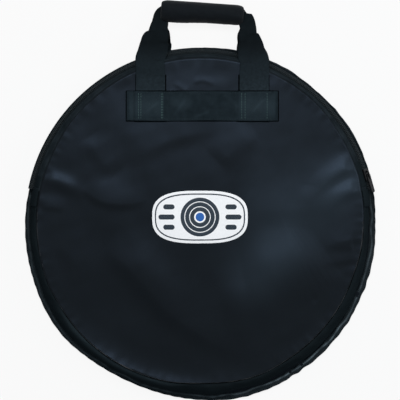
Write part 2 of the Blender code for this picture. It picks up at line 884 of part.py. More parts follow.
def add_axis(name, position, carrier, pieces):
    """An empty on the axis that the named pieces turn about, carried by another axis or by nothing."""
    axis = bpy.data.objects.new(name, None)
    bpy.context.scene.collection.objects.link(axis)
    axis.location = position
    if carrier is not None:
        axis.parent = carrier
        axis.location = Vector(position) - carrier.matrix_world.translation
    bpy.context.view_layer.update()
    for piece_name in pieces:
        piece = bpy.data.objects[piece_name]
        piece.parent = axis
        piece.location = -Vector(position)
    return axis


def make_axes():
    """Put each moving piece on the axis that it turns about."""
    lid_axis = add_axis("lid_axis", (0.0, fold_y, fold_axis_z), None, (
        "front_panel_upper_outer", "front_panel_upper_foam", "front_panel_upper_lining",
        "front_seam_binding_upper", "zip_gusset_front_strip", "zip_tape_front", "zip_coil_front",
        "front_strap_left", "front_strap_right", "front_cross_strip",
    ))
    front_hinge = (0.0, front_hinge_y, front_leg_height + webbing_thickness)
    add_axis("front_handle_axis", front_hinge, lid_axis, (
        "front_handle_webbing", "grip_pad_front", "grip_loop_tape",
    ))
    back_hinge = (0.0, back_hinge_y, rim_lift - fit_gap - webbing_thickness)
    add_axis("back_handle_axis", back_hinge, None, (
        "back_handle_webbing", "grip_pad_back", "grip_hook_tape",
    ))
    slider_axis = add_axis("slider_axis", (0.0, 0.0, zip_height), None, ("zip_slider", "slider_crown_shape"))
    tab_hinge = slider_space(0.0, tab_axis_out, 0.0)
    add_axis("pull_tab_axis", tab_hinge, slider_axis, ("pull_tab", "tab_window_shape"))


def clear_scene():
    """Remove whatever the scene holds before the bag is built."""
    for piece in list(bpy.data.objects):
        bpy.data.objects.remove(piece, do_unlink=True)


def main():
    """Build the whole bag."""
    clear_scene()
    make_back_panel()
    make_back_binding()
    make_front_panel("lower", False)
    make_front_panel("upper", True)
    make_lower_gusset()
    make_lid_edge()
    make_zip()
    make_zip_front_ends()
    make_zip_end_tabs()
    make_front_webbing()
    make_back_webbing()
    make_handles()
    make_slider()
    make_pull_tab()
    make_axes()


main()
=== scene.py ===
"""Dressed cymbal bag: cloth, webbing, zip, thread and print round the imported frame.

The bag lies on its back panel, +Z is up out of its front panel and +Y points to its handles. Lengths are in
metres unless a name ends in _mm or _deg.
"""
import json
import math

import bmesh
import bpy
import numpy as np
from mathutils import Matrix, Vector


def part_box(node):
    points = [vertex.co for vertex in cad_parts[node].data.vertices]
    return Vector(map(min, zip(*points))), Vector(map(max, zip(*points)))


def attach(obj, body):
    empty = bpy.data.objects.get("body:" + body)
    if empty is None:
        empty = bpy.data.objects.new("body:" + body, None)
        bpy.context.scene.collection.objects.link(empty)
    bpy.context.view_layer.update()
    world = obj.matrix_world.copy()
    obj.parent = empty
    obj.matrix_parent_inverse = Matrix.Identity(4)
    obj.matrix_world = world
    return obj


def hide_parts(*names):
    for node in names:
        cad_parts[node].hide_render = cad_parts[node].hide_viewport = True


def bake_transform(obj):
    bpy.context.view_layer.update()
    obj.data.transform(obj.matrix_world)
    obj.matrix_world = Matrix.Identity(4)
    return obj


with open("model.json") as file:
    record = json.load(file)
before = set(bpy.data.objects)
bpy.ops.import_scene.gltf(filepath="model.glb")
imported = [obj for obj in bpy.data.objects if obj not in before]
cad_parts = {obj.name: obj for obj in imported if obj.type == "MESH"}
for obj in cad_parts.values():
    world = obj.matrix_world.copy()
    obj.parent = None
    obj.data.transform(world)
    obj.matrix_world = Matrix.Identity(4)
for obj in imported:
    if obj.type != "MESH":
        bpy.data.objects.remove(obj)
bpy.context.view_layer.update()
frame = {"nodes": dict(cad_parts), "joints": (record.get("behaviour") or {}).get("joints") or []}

# What the frame gives: the rim, the zip, the webbing, the end tab and the joints
joints = {joint["name"]: joint for joint in frame["joints"]}
rim_low, rim_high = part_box("back_seam_binding")
zip_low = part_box("zip_tape_back")[0]
strap_low, strap_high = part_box("front_strap_left")
right_low, right_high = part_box("front_strap_right")
strip_low, strip_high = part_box("front_cross_strip")
back_strip_low, back_strip_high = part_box("back_cross_strip")
tab_low, tab_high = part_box("zip_end_tab_right")
outside_radius = rim_high.x
rim_lift = rim_low.z
rim_top = rim_high.z
front_hinge_y = joints["front_handle_swing"]["pos_m"][1]
back_hinge_y = joints["back_handle_swing"]["pos_m"][1]
zip_height = joints["slider_travel"]["pos_m"][2]
zip_end_y = zip_low.y
strap_start_y = strap_low.y
strap_width = strap_high.x - strap_low.x
strap_middles = ((strap_low.x + strap_high.x) / 2.0, (right_low.x + right_high.x) / 2.0)
handle_centre_x = sum(strap_middles) / 2.0
strap_spacing = strap_middles[1] - strap_middles[0]

metres_per_mm = 0.001

# Cloth and its seams
fit_gap = 0.0003
cloth_thickness = 0.0012
plain_cloth_thickness = 0.0010
patch_thickness = 0.0009
end_tab_thickness = 0.0014
padding_thickness = 0.0056
padding_setback = 0.0060
padding_edge_thinning = 0.35
padding_edge_from = 0.95
seam_radius = 0.2746
seam_shift = (-0.0010, 0.0050)
seam_height = 0.0440
seam_groove = 0.0008
seam_lap = 0.0006
foot_gap = 0.0002
crown_rise = 0.0052
gusset_radius = 0.2985
gusset_foot_inset = 0.0073
back_cloth_tuck = 0.0058
back_padding_radius = 0.284
rest_radius = 0.150
rim_lift_radius = 0.170

# Zip
zip_radius = 0.2910
zip_slope_deg = 45.0
zip_opening_half = 0.0085
zip_window_out = 0.0019
strip_thickness = 0.0016
tape_thickness = 0.0010
# Across each tape from its sewn edge to the coil, and how deep it lies there
tape_across = (0.0122, 0.0105, 0.0084, 0.0064, 0.0045, 0.0028, 0.0004)
tape_sink = (-0.0007, -0.0005, -0.0003, -0.0001, -0.0001, -0.0001, -0.0001)
tooth_pitch = 0.0030
tooth_wire = 0.00050
tooth_reach = 0.0046
tooth_overlap = 0.0004
tooth_height = 0.0029
tooth_slant = 0.0009

# Webbing and handles
webbing_thickness = 0.0018
folded_thickness = 0.0036
front_leg_height = 0.0454
front_leg_level_y = 0.262
back_leg_level_y = 0.297
leg_settle_y = 0.338
grip_y = 0.358
grip_length = 0.140
grip_radius = 0.0175
grip_tilt_deg = -4.0
grip_channel_half = 0.0117
grip_open_height = 0.0046
grip_wall_half_length = 0.042
grip_round_end = 0.0130
grip_left_fullness = 0.0032
folded_corner_top = 0.0035
hook_tape_width = 0.0050
hook_tape_half_length = 0.040
hook_tape_thickness = 0.0012
strip_hem_width = 0.0085

# Thread, drawn thicker than the real 0.4 mm so that a stitch shows
stitch_length = 0.0031
stitch_gap = 0.0011
stitch_thickness = 0.00075
stitch_margin = 0.0026

# Unevenness of the panel's cloth
panel_swell_height = 0.00055
panel_wave_height = 0.00012
panel_crumple_height = 0.00004
pucker_height = 0.00016
pucker_reach = 0.045

# How finely the skins are divided, and from which angle an edge looks sharp
sharp_from_deg = 48.0
end_map_width = 0.002
panel_steps = 261
padding_steps = 111
back_panel_steps = 141
back_padding_steps = 91
gusset_steps = 620
binding_steps = 720
inner_binding_steps = (360, 12)
strip_step = 0.003
tape_step = 0.004
patch_steps = 30
end_tab_steps = 40
section_steps = 4
fold_steps = 6
leg_steps = 7
sewn_steps = 26
cross_strip_steps = (150, 34)
strap_steps_across = 17
grip_steps = (90, 30)
hook_tape_steps = (121, 13)
loop_steps = (14, 6)
stitch_sides = 6
thread_steps = 40
long_thread_steps = 160
edging_steps = 120
binding_thread_steps = 500
bar_steps = 80

# Shares of the span, outwards and upwards, that the outlines of the side wall follow
gusset_shares = (
    (0.00, 1.00), (0.12, 0.99), (0.32, 0.92), (0.57, 0.76), (0.78, 0.53), (0.93, 0.27), (1.00, 0.09),
    (0.965, 0.00),
)
front_strip_shares = ((0.00, 1.00), (0.16, 1.03), (0.45, 0.86), (0.80, 0.45), (1.00, 0.00))
back_strip_shares = ((0.00, 1.00), (1.00, 0.72), (1.20, 0.40), (0.50, 0.00))
# Handle legs: share of the way up to the grip, share of the straps' spacing, share of the webbing's width
left_leg_shares = (
    (0.00, 1.000, 1.00), (0.18, 1.005, 1.00), (0.27, 1.010, 1.00), (0.34, 0.980, 1.00),
    (0.41, 0.955, 1.00), (0.49, 0.930, 0.985), (0.56, 0.912, 0.94), (0.63, 0.872, 0.80),
    (0.67, 0.856, 0.735), (0.715, 0.850, 0.665), (0.76, 0.840, 0.62), (0.805, 0.825, 0.58),
    (0.86, 0.815, 0.545), (0.92, 0.800, 0.50), (0.965, 0.755, 0.46), (0.99, 0.680, 0.45),
    (1.00, 0.580, 0.44), (1.00, 0.440, 0.44), (1.00, 0.220, 0.44), (1.00, 0.000, 0.44),
)
right_leg_shares = (
    (0.00, 1.000, 1.00), (0.18, 1.005, 1.00), (0.27, 1.010, 1.00), (0.37, 0.970, 1.00),
    (0.45, 0.950, 0.93), (0.54, 0.940, 0.86), (0.615, 0.923, 0.77), (0.69, 0.889, 0.69),
    (0.74, 0.889, 0.62), (0.785, 0.893, 0.586), (0.83, 0.888, 0.57), (0.88, 0.875, 0.57),
    (0.93, 0.855, 0.56), (0.97, 0.825, 0.53), (0.995, 0.760, 0.48), (1.00, 0.660, 0.45),
    (1.00, 0.520, 0.44), (1.00, 0.250, 0.44), (1.00, 0.000, 0.44),
)
# How far the back loop leans towards the middle, on the left and on the right, and between which places
back_lean = (0.0052, 0.0030)
lean_start_y = 0.268
lean_end_y = 0.338
back_loop_narrower = 0.96
narrowing_length = 0.012

# How the soft rim departs from a circle: azimuth in degrees from +X, and millimetres outwards
rim_bulge_rows = (
    (0, -1.9), (9, 0.5), (20, 0.1), (30, 1.6), (40, 0.9), (50, -0.4), (60, 1.6), (77, 1.2), (90, -0.6),
    (120, -1.2), (140, -1.2), (150, -2.8), (161, -4.5), (171, -1.2), (185, 0.0), (200, 1.2), (209, 3.7),
    (220, 4.2), (229, -0.3), (240, -3.3), (250, -3.4), (260, -1.4), (270, 1.5), (280, 5.4), (290, 5.7),
    (302, 4.1), (325, 3.3), (340, 1.4), (351, 0.6),
)
# How far the side wall stands back from the binding: azimuth, and millimetres
wall_inset_rows = (
    (0, 4.8), (12, 2.4), (28, 0.4), (160, 0.2), (195, 0.8), (230, 1.0), (262, 1.4), (276, 4.0), (288, 7.0),
    (302, 7.2), (314, 4.4), (330, 3.6), (350, 4.8),
)
# How far the panel turns up beside the seam: azimuth, and millimetres
seam_lip_rows = (
    (0, 1.2), (18, 0.2), (40, 0.25), (60, 0.45), (120, 0.45), (140, 0.25), (156, 0.6), (170, 0.8),
    (184, 2.0), (200, 1.0), (212, 1.4), (224, 3.2), (237, 7.2), (252, 5.6), (270, 4.2), (284, 2.6),
    (292, 1.6), (302, 1.8), (314, 2.8), (328, 2.0), (342, 3.0), (352, 2.4),
)
# How the front seam departs from a circle: azimuth, and millimetres outwards
seam_wave_rows = (
    (0, -0.1), (20, 1.3), (31, 0.2), (41, 2.7), (60, 1.7), (75, 0.5), (105, -1.1), (120, -1.2),
    (130, -2.4), (140, -1.3), (156, -2.5), (172, -0.4), (188, 0.0), (200, 1.6), (210, 0.3), (224, 1.6),
    (245, 1.2), (260, 0.7), (270, -2.1), (280, 0.5), (290, 3.4), (301, 1.2), (320, 0.4), (332, 0.1),
    (341, -1.6), (351, 0.6),
)


def smooth_curve(points, per_span):
    """Points along a smooth curve through the given ones."""
    rows = np.asarray(points, float)
    last = len(rows) - 1
    found = []
    for i in range(last):
        a, b, c, d = (rows[min(max(k, 0), last)] for k in (i - 1, i, i + 1, i + 2))
        for s in np.arange(per_span) / per_span:
            bend = (2 * a - 5 * b + 4 * c - d) * s * s + (3 * b - a - 3 * c + d) * s ** 3
            found.append(0.5 * (2 * b + (c - a) * s + bend))
    found.append(rows[-1])
    return np.array(found)


def smooth_step(value, low, high):
    """A share from 0 to 1 that starts and ends level."""
    share = np.clip((np.asarray(value, float) - low) / (high - low), 0.0, 1.0)
    return share * share * (3.0 - 2.0 * share)


def within(value, low, full, fading, high):
    """A share from 0 to 1 that rises to full and falls again."""
    return smooth_step(value, low, full) * (1.0 - smooth_step(value, fading, high))


def bell(value, width):
    """A soft bump of height 1 round zero."""
    return np.exp(-(value / width) ** 2)


def uneven_wave(value, count, wander, slow_count):
    """A wave whose spacing wanders, so that it doesn't look ruled."""
    return np.sin(value * count + wander * np.sin(value * slow_count))


def full_turn(count):
    """Evenly spaced angles once round."""
    return np.linspace(0.0, 2.0 * math.pi, count, endpoint=False)


def lengths_along(line):
    """Length travelled from the start of a line to each of its points."""
    return np.concatenate([[0.0], np.cumsum(np.linalg.norm(np.diff(line, axis=0), axis=1))])


def around(rows_mm, soften_deg):
    """A smooth closed curve of metres by azimuth, through rows of degrees and millimetres."""
    degrees = np.arange(360.0)
    rough = np.interp(degrees, *zip(*rows_mm), period=360.0)
    window = np.hanning(soften_deg)
    smooth = np.convolve(np.tile(rough, 3), window / window.sum(), "same")[360:720] * metres_per_mm
    return lambda azimuth: np.interp(np.degrees(azimuth), degrees, smooth, period=360.0)


def ripples(seed, count, shortest, longest):
    """Gentle unevenness made of waves of several lengths and directions, the same on every run."""
    draw = np.random.default_rng(seed)
    directions = draw.uniform(0.0, 2.0 * math.pi, count)
    numbers = 2.0 * math.pi / draw.uniform(shortest, longest, count)
    phases = draw.uniform(0.0, 2.0 * math.pi, count)

    def height(x, y):
        total = np.zeros(np.broadcast(x, y).shape)
        for direction, number, phase in zip(directions, numbers, phases):
            total += np.sin((x * math.cos(direction) + y * math.sin(direction)) * number + phase)
        return total / math.sqrt(count)

    return height


rim_bulge = around(rim_bulge_rows, 15)
wall_inset = around(wall_inset_rows, 21)
seam_wave = around(seam_wave_rows, 15)
seam_lip = around(seam_lip_rows, 15)
panel_swell = ripples(3, 9, 0.070, 0.150)
panel_waves = ripples(4, 12, 0.028, 0.060)
panel_crumple = ripples(5, 14, 0.014, 0.034)
gusset_swell = ripples(11, 8, 0.060, 0.130)
gusset_crumple = ripples(12, 12, 0.012, 0.030)
pad_swell = ripples(21, 10, 0.012, 0.040)
webbing_sway = ripples(31, 8, 0.025, 0.070)


# Folds of the front panel: height, width on the left and on the right of the line, how much of it fades in
# and out, and the line itself. A dent has a height below zero.
panel_folds = (
    (0.0040, 0.0135, 0.0110, 0.00, 0.45,
     ((-0.268, 0.074), (-0.248, 0.073), (-0.230, 0.067), (-0.212, 0.057), (-0.192, 0.042))),
    (0.0028, 0.0400, 0.0075, 0.30, 0.40,
     ((-0.200, 0.062), (-0.174, 0.042), (-0.150, 0.034), (-0.118, 0.034), (-0.084, 0.044))),
    (0.0011, 0.0160, 0.0060, 0.00, 0.50, ((-0.262, 0.030), (-0.246, 0.028), (-0.224, 0.026))),
    (0.0019, 0.0300, 0.0150, 0.30, 0.40, ((-0.190, 0.146), (-0.164, 0.108), (-0.142, 0.082))),
    (0.0017, 0.0340, 0.0140, 0.40, 0.40,
     ((-0.124, 0.104), (-0.082, 0.127), (-0.056, 0.139), (-0.012, 0.152), (0.040, 0.160))),
    (0.0015, 0.0320, 0.0160, 0.30, 0.30, ((0.030, 0.100), (0.058, 0.126), (0.096, 0.150))),
    (0.0056, 0.0190, 0.0080, 0.80, 0.00,
     ((0.176, 0.034), (0.200, 0.060), (0.222, 0.078), (0.244, 0.091), (0.270, 0.099))),
    (0.0056, 0.0180, 0.0084, 0.75, 0.00,
     ((0.204, 0.014), (0.224, 0.035), (0.244, 0.050), (0.272, 0.060))),
    (0.0016, 0.0200, 0.0180, 0.40, 0.40, ((0.182, 0.066), (0.174, 0.030), (0.168, -0.010))),
    (0.0092, 0.0480, 0.0520, 0.40, 0.40,
     ((0.068, -0.084), (0.112, -0.074), (0.166, -0.062), (0.206, -0.036))),
    (0.0040, 0.0340, 0.0380, 0.40, 0.40, ((0.030, -0.134), (0.080, -0.128), (0.126, -0.116))),
    (0.0022, 0.0500, 0.0200, 0.35, 0.35,
     ((0.060, 0.022), (0.130, 0.026), (0.190, 0.030), (0.244, 0.036))),
    (0.0016, 0.0160, 0.0080, 0.40, 0.20, ((0.206, -0.034), (0.232, -0.036), (0.258, -0.036))),
    (0.0058, 0.0560, 0.0190, 0.22, 0.25,
     ((-0.160, -0.036), (-0.120, -0.072), (-0.084, -0.110), (-0.054, -0.144), (-0.020, -0.170),
      (0.024, -0.197), (0.076, -0.220))),
    (0.0018, 0.0280, 0.0080, 0.50, 0.00, ((0.216, -0.034), (0.240, -0.028), (0.270, -0.022))),
    (0.0014, 0.0220, 0.0070, 0.50, 0.10, ((0.206, -0.066), (0.232, -0.062), (0.260, -0.058))),
    (-0.0010, 0.0070, 0.0070, 0.40, 0.40, ((0.184, -0.124), (0.191, -0.126), (0.199, -0.128))),
    (0.0005, 0.0140, 0.0120, 0.30, 0.30, ((-0.036, 0.228), (0.010, 0.236), (0.054, 0.226))),
    (0.0005, 0.0060, 0.0035, 0.30, 0.30, ((-0.046, 0.238), (-0.030, 0.226), (-0.020, 0.222))),
    (0.0005, 0.0060, 0.0035, 0.30, 0.30, ((-0.014, 0.236), (0.004, 0.240), (0.026, 0.233))),
    (0.0018, 0.0300, 0.0180, 0.40, 0.40, ((-0.252, -0.030), (-0.216, -0.052), (-0.190, -0.098))),
    (0.0014, 0.0220, 0.0140, 0.40, 0.40, ((0.110, -0.196), (0.156, -0.176), (0.196, -0.140))),
)

# Painted highlight along the back binding's crest: azimuth, place across it from -1 inside to 1 outside, and
# strength
crest_degrees = (0, 40, 150, 180, 205, 230, 262, 282, 298, 322, 336, 360)
crest_places = (-0.20, 0.10, 0.10, 0.10, 0.10, 0.10, 0.00, -0.50, -0.50, -0.15, -0.10, -0.20)
crest_strengths = (0.30, 0.24, 0.16, 0.20, 0.16, 0.20, 0.30, 0.60, 1.00, 0.95, 0.42, 0.30)
# Painted sheen on the front panel: paler streaks that stand in for the coating's soft highlights. Strength 0
# to 1, then as in the folds
painted_light_streaks = (
    (0.36, 0.056, 0.050, 0.25, 0.15,
     ((0.030, -0.118), (0.082, -0.090), (0.136, -0.040), (0.184, 0.010), (0.236, 0.066), (0.276, 0.104))),
    (0.16, 0.030, 0.024, 0.50, 0.20, ((0.170, 0.030), (0.200, 0.056), (0.232, 0.084), (0.268, 0.106))),
    (0.16, 0.018, 0.016, 0.60, 0.20, ((0.190, 0.018), (0.222, 0.034), (0.244, 0.050), (0.268, 0.062))),
    (0.20, 0.060, 0.070, 0.40, 0.40, ((0.050, 0.060), (0.120, 0.050), (0.190, 0.044))),
    (0.13, 0.040, 0.030, 0.35, 0.35, ((0.086, -0.020), (0.130, -0.046), (0.176, -0.036))),
    (0.08, 0.016, 0.014, 0.20, 0.30, ((-0.258, 0.080), (-0.232, 0.078), (-0.206, 0.066))),
)

# Painted highlights on the front cross strip: paler streaks along it and thin pale lines across its wrinkles
strip_streaks = (
    (0.30, 0.020, 0.020, 0.10, 0.10, ((-0.122, 0.197), (-0.060, 0.199))),
    (0.22, 0.012, 0.010, 0.30, 0.30, ((-0.054, 0.204), (-0.010, 0.200))),
    (0.30, 0.020, 0.020, 0.20, 0.10, ((0.056, 0.199), (0.128, 0.197))),
    (0.14, 0.0028, 0.0028, 0.30, 0.30, ((-0.046, 0.180), (-0.034, 0.196), (-0.024, 0.210))),
    (0.16, 0.0024, 0.0024, 0.30, 0.30, ((-0.014, 0.178), (0.004, 0.184), (0.016, 0.188))),
    (0.18, 0.0024, 0.0024, 0.30, 0.30, ((0.084, 0.184), (0.098, 0.200), (0.112, 0.212))),
    (0.16, 0.0024, 0.0024, 0.30, 0.30, ((-0.092, 0.186), (-0.078, 0.198), (-0.068, 0.206))),
    (0.12, 0.0030, 0.0030, 0.30, 0.30, ((0.044, 0.212), (0.056, 0.204), (0.062, 0.190))),
)


def fold_height(x, y, height, left_width, right_width, fade_in, fade_out, points):
    """Height that one fold adds to a surface at the places x, y."""
    line = smooth_curve(points, fold_steps)
    along = np.linspace(0.0, 1.0, len(line))
    nearest = np.full(np.shape(x), np.inf)
    added = np.zeros(np.shape(x))
    for (start, first), (end, second) in zip(zip(line, along), zip(line[1:], along[1:])):
        step = end - start
        share = np.clip(((x - start[0]) * step[0] + (y - start[1]) * step[1]) / (step @ step), 0.0, 1.0)
        off_x = x - start[0] - share * step[0]
        off_y = y - start[1] - share * step[1]
        distance = np.hypot(off_x, off_y)
        on_left = step[0] * off_y - step[1] * off_x > 0.0
        width = np.where(on_left, left_width, right_width)
        reached = first + share * (second - first)
        strength = height * bell(distance, width)
        if fade_in:
            strength = strength * smooth_step(reached, 0.0, fade_in)
        if fade_out:
            strength = strength * smooth_step(1.0 - reached, 0.0, fade_out)
        closer = distance < nearest
        nearest = np.where(closer, distance, nearest)
        added = np.where(closer, strength, added)
    return added


def seam_at(azimuth):
    """Radius of the front seam."""
    shift = seam_shift[0] * np.cos(azimuth) + seam_shift[1] * np.sin(azimuth)
    return seam_radius + shift + seam_wave(azimuth)


def seam_level(azimuth):
    """Height of the front seam, down in its groove, which rises and sinks a little."""
    rise_share, turn = 0.25, 0.6
    return seam_height - seam_groove + rise_share * seam_wave(azimuth + turn)


def panel_height(x, y):
    """Height of the outer face of the wrinkled front panel."""
    held, held_from = 0.75, 0.93
    lip_start, lip_span, lip_power = 0.83, 0.164, 2.6
    roll_start = 0.991
    x = np.asarray(x, float)
    y = np.asarray(y, float)
    azimuth = np.arctan2(y, x)
    share = np.hypot(x, y) / seam_at(azimuth)
    height = seam_height + crown_rise * 0.5 * (1.0 + np.cos(math.pi * np.clip(share, 0.0, 1.0)))
    creases = panel_swell_height * panel_swell(x, y) + panel_wave_height * panel_waves(x, y)
    creases = creases + panel_crumple_height * panel_crumple(x, y)
    for fold in panel_folds:
        creases = creases + fold_height(x, y, *fold)
    height = height + creases * (1.0 - held * smooth_step(share, held_from, 1.0))
    height = height + seam_lip(azimuth) * np.clip((share - lip_start) / lip_span, 0.0, 1.0) ** lip_power
    pucker = uneven_wave(azimuth, 92.0, 3.0, 7.0) + np.sin(azimuth * 61.0 + 1.3)
    height = height + pucker_height * pucker * bell(1.0 - share, pucker_reach)
    roll = smooth_step(share, roll_start, 1.0) ** 2
    return height * (1.0 - roll) + seam_level(azimuth) * roll


def zip_point(across, out):
    """Radius and height of a point in the zip's own section."""
    slope = math.radians(zip_slope_deg)
    radius = zip_radius + across * math.cos(slope) + out * math.sin(slope)
    return radius, zip_height - across * math.sin(slope) + out * math.cos(slope)


zip_end = math.asin(zip_end_y / zip_radius)
tab_start = math.atan2(tab_low.y, tab_high.x)


def make_mesh(name, points, faces, corners=None):
    """A smooth-shaded object from points and faces, with a cloth map in metres where corners are given."""
    mesh = bpy.data.meshes.new(name)
    mesh.from_pydata(np.asarray(points).reshape(-1, 3).tolist(), [], np.asarray(faces).tolist())
    if corners is not None:
        layer = mesh.uv_layers.new(name="cloth_map")
        layer.data.foreach_set("uv", np.asarray(corners, np.float32).ravel())
    bm = bmesh.new()
    bm.from_mesh(mesh)
    bmesh.ops.recalc_face_normals(bm, faces=bm.faces)
    bm.to_mesh(mesh)
    bm.free()
    mesh.shade_smooth()
    mesh.set_sharp_from_angle(angle=math.radians(sharp_from_deg))
    piece = bpy.data.objects.new(name, mesh)
    bpy.context.scene.collection.objects.link(piece)
    return piece


def travelled(grid, axis):
    """Mean length in metres along one direction of a grid, with one step more for a grid that closes."""
    steps = np.linalg.norm(np.diff(grid, axis=axis, append=np.take(grid, [0], axis=axis)), axis=2)
    return np.concatenate([[0.0], np.cumsum(steps.mean(axis=1 - axis))])


def surface(name, grid, wrap_columns=False):
    """A skin over a grid of points whose rows close into a ring. Ends that don't close are filled."""
    rows, columns = grid.shape[:2]
    i, j = np.meshgrid(np.arange(rows), np.arange(columns if wrap_columns else columns - 1), indexing="ij")
    i = i.ravel()
    j = j.ravel()
    next_i = (i + 1) % rows
    next_j = (j + 1) % columns
    faces = np.stack([
        i * columns + j, i * columns + next_j, next_i * columns + next_j, next_i * columns + j,
    ], 1)
    along = travelled(grid, 1)
    across = travelled(grid, 0)
    corners = np.stack([
        along[j], across[i], along[j + 1], across[i], along[j + 1], across[i + 1], along[j], across[i + 1],
    ], 1).reshape(-1, 4, 2)
    if not wrap_columns:
        k = np.arange(rows // 2 - 1)
        far = rows - 1 - k
        near_edge, far_edge = 0 * k, 0 * k + end_map_width
        for column in (0, columns - 1):
            ends = np.stack([k, k + 1, far - 1, far], 1) * columns + column
            faces = np.concatenate([faces, ends])
            flat = np.stack([
                across[k], near_edge, across[k + 1], near_edge, across[k + 1], far_edge, across[k], far_edge,
            ], 1)
            corners = np.concatenate([corners, flat.reshape(-1, 4, 2)])
    return make_mesh(name, grid, faces, corners)


def normals_of(grid, outward, wrap_columns=False):
    """Unit normals over a grid of points, turned to the outward side."""
    if wrap_columns:
        by_column = np.roll(grid, -1, 1) - np.roll(grid, 1, 1)
    else:
        by_column = np.gradient(grid, axis=1)
    normals = np.cross(by_column, np.gradient(grid, axis=0))
    normals = normals / np.maximum(np.linalg.norm(normals, axis=2, keepdims=True), 1e-12)
    middle = tuple(size // 2 for size in grid.shape[:2])
    return -normals if normals[middle] @ np.asarray(outward, float) < 0.0 else normals


def cloth(name, grid, thickness, outward, wrap_columns=False):
    """A closed layer under a grid of points. The thickness may be one value or one for each point."""
    depth = np.asarray(thickness, float)
    if depth.ndim == 2:
        depth = depth[:, :, None]
    inner = grid - normals_of(grid, outward, wrap_columns) * depth
    return surface(name, np.concatenate([grid, inner[::-1]]), wrap_columns)


def turned(line, azimuths):
    """A grid of a section's radii and heights turned to each azimuth. The line may differ by azimuth."""
    radii, heights = line
    x = radii * np.cos(azimuths)
    y = radii * np.sin(azimuths)
    return np.stack([x, y, np.broadcast_to(heights, x.shape)], 2)


def disc_places(count):
    """Places over a unit disc on a square grid that is pulled round."""
    side = np.linspace(-1.0, 1.0, count)
    v, u = np.meshgrid(side, side, indexing="ij")
    return u * np.sqrt(1.0 - v * v / 2.0), v * np.sqrt(1.0 - u * u / 2.0)


def place(piece, finish, body=None, nodes=()):
    """Give a piece its finish, hide the frame's nodes that it stands for, and hang it on the body that
    carries it.
    """
    piece.data.materials.append(finish)
    if nodes:
        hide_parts(*nodes)
    if body is not None:
        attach(piece, body)


def bend_at_fold(piece):
    """Bake a piece's placement into its points."""
    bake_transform(piece)


def plan_of(piece):
    """The x and the y of each vertex."""
    return np.array([vertex.co[:2] for vertex in piece.data.vertices]).T


def paint(piece, strength):
    """How much each vertex shows of its material's paler tone of painted light."""
    painted_light = piece.data.attributes.new("painted_light", "FLOAT", "POINT")
    painted_light.data.foreach_set("value", np.clip(strength, 0.0, 1.0))


def paint_streaks(piece, streaks):
    """Painted light along drawn streaks."""
    x, y = plan_of(piece)
    paint(piece, sum(fold_height(x, y, *streak) for streak in streaks))


def make_front_panel():
    """The round front cloth in one piece, and its foam and lining behind it."""
    u, v = disc_places(panel_steps)
    seam = seam_at(np.arctan2(v, u))
    x = u * seam
    y = v * seam
    grid = np.stack([x, y, panel_height(x, y)], 2)
    panel = cloth("front_panel", grid, cloth_thickness, outward=(0, 0, 1))
    # The panel's colour takes painted sheen along these streaks
    paint_streaks(panel, painted_light_streaks)
    place(panel, coated_cloth, nodes=("front_panel_lower_outer", "front_panel_upper_outer"))
    bend_at_fold(panel)

    edge_drop, edge_from = 0.0012, 0.93
    u, v = disc_places(padding_steps)
    seam = seam_at(np.arctan2(v, u))
    reach = 1.0 - padding_setback / seam_radius
    x = u * seam * reach
    y = v * seam * reach
    share = np.hypot(u, v)
    top = panel_height(x, y) - cloth_thickness - fit_gap - edge_drop * smooth_step(share, edge_from, 1.0)
    padding = cloth("front_padding", np.stack([x, y, top], 2), padding_depth(share), outward=(0, 0, 1))
    place(padding, lining_taffeta, nodes=(
        "front_panel_lower_foam", "front_panel_lower_lining", "front_panel_upper_foam",
        "front_panel_upper_lining",
    ))
    bend_at_fold(padding)


def padding_depth(share):
    """Thickness of a round padding, which thins towards its edge."""
    return padding_thickness * (1.0 - padding_edge_thinning * smooth_step(share, padding_edge_from, 1.0))


def back_level(radius):
    """Height of the back panel's outer face, which dishes up over the webbing."""
    return rim_lift * smooth_step(radius, rest_radius, rim_lift_radius)


def make_back_panel():
    """The cloth that the bag lies on, and its foam and lining."""
    looseness, loose_shares = 0.00028, (0.55, 0.75, 0.93, 0.98)
    edge_lift, lifted_shares = 0.0006, (0.97, 0.99)
    u, v = disc_places(back_panel_steps)
    share = np.hypot(u, v)
    reach = outside_radius - back_cloth_tuck + rim_bulge(np.arctan2(v, u))
    x = u * reach
    y = v * reach
    loose = within(share, *loose_shares)
    level = back_level(share * reach) + looseness * loose * (1.0 + panel_swell(x, y)) ** 2 * 0.5
    level = level + edge_lift * smooth_step(share, *lifted_shares)
    panel = cloth("back_panel", np.stack([x, y, level], 2), plain_cloth_thickness, outward=(0, 0, -1))
    place(panel, coated_cloth, "case", ("back_panel_outer",))

    padding_top, unevenness, edge_drop = 0.0076, 0.0003, 0.0022
    u, v = disc_places(back_padding_steps)
    share = np.hypot(u, v)
    x = u * back_padding_radius
    y = v * back_padding_radius
    top = back_level(share * back_padding_radius) + padding_top + unevenness * panel_swell(x, y)
    top = top - edge_drop * smooth_step(share, padding_edge_from, 1.0)
    padding = cloth("back_padding", np.stack([x, y, top], 2), padding_depth(share), outward=(0, 0, 1))
    place(padding, lining_taffeta, "case", ("back_panel_foam", "back_panel_lining"))


def section_line(shares, start, end, azimuths):
    """A section that runs from a start to an end, each a radius and a height that may differ by azimuth."""
    rows = smooth_curve(shares, section_steps)
    radii = start[0] + rows[:, :1] * (end[0] - start[0]) + 0.0 * azimuths
    heights = end[1] + rows[:, 1:] * (start[1] - end[1]) + 0.0 * azimuths
    return radii, heights


def rim_radius(azimuth):
    """Radius of the side wall's widest stretch."""
    return gusset_radius - gusset_foot_inset - wall_inset(azimuth) + rim_bulge(azimuth)


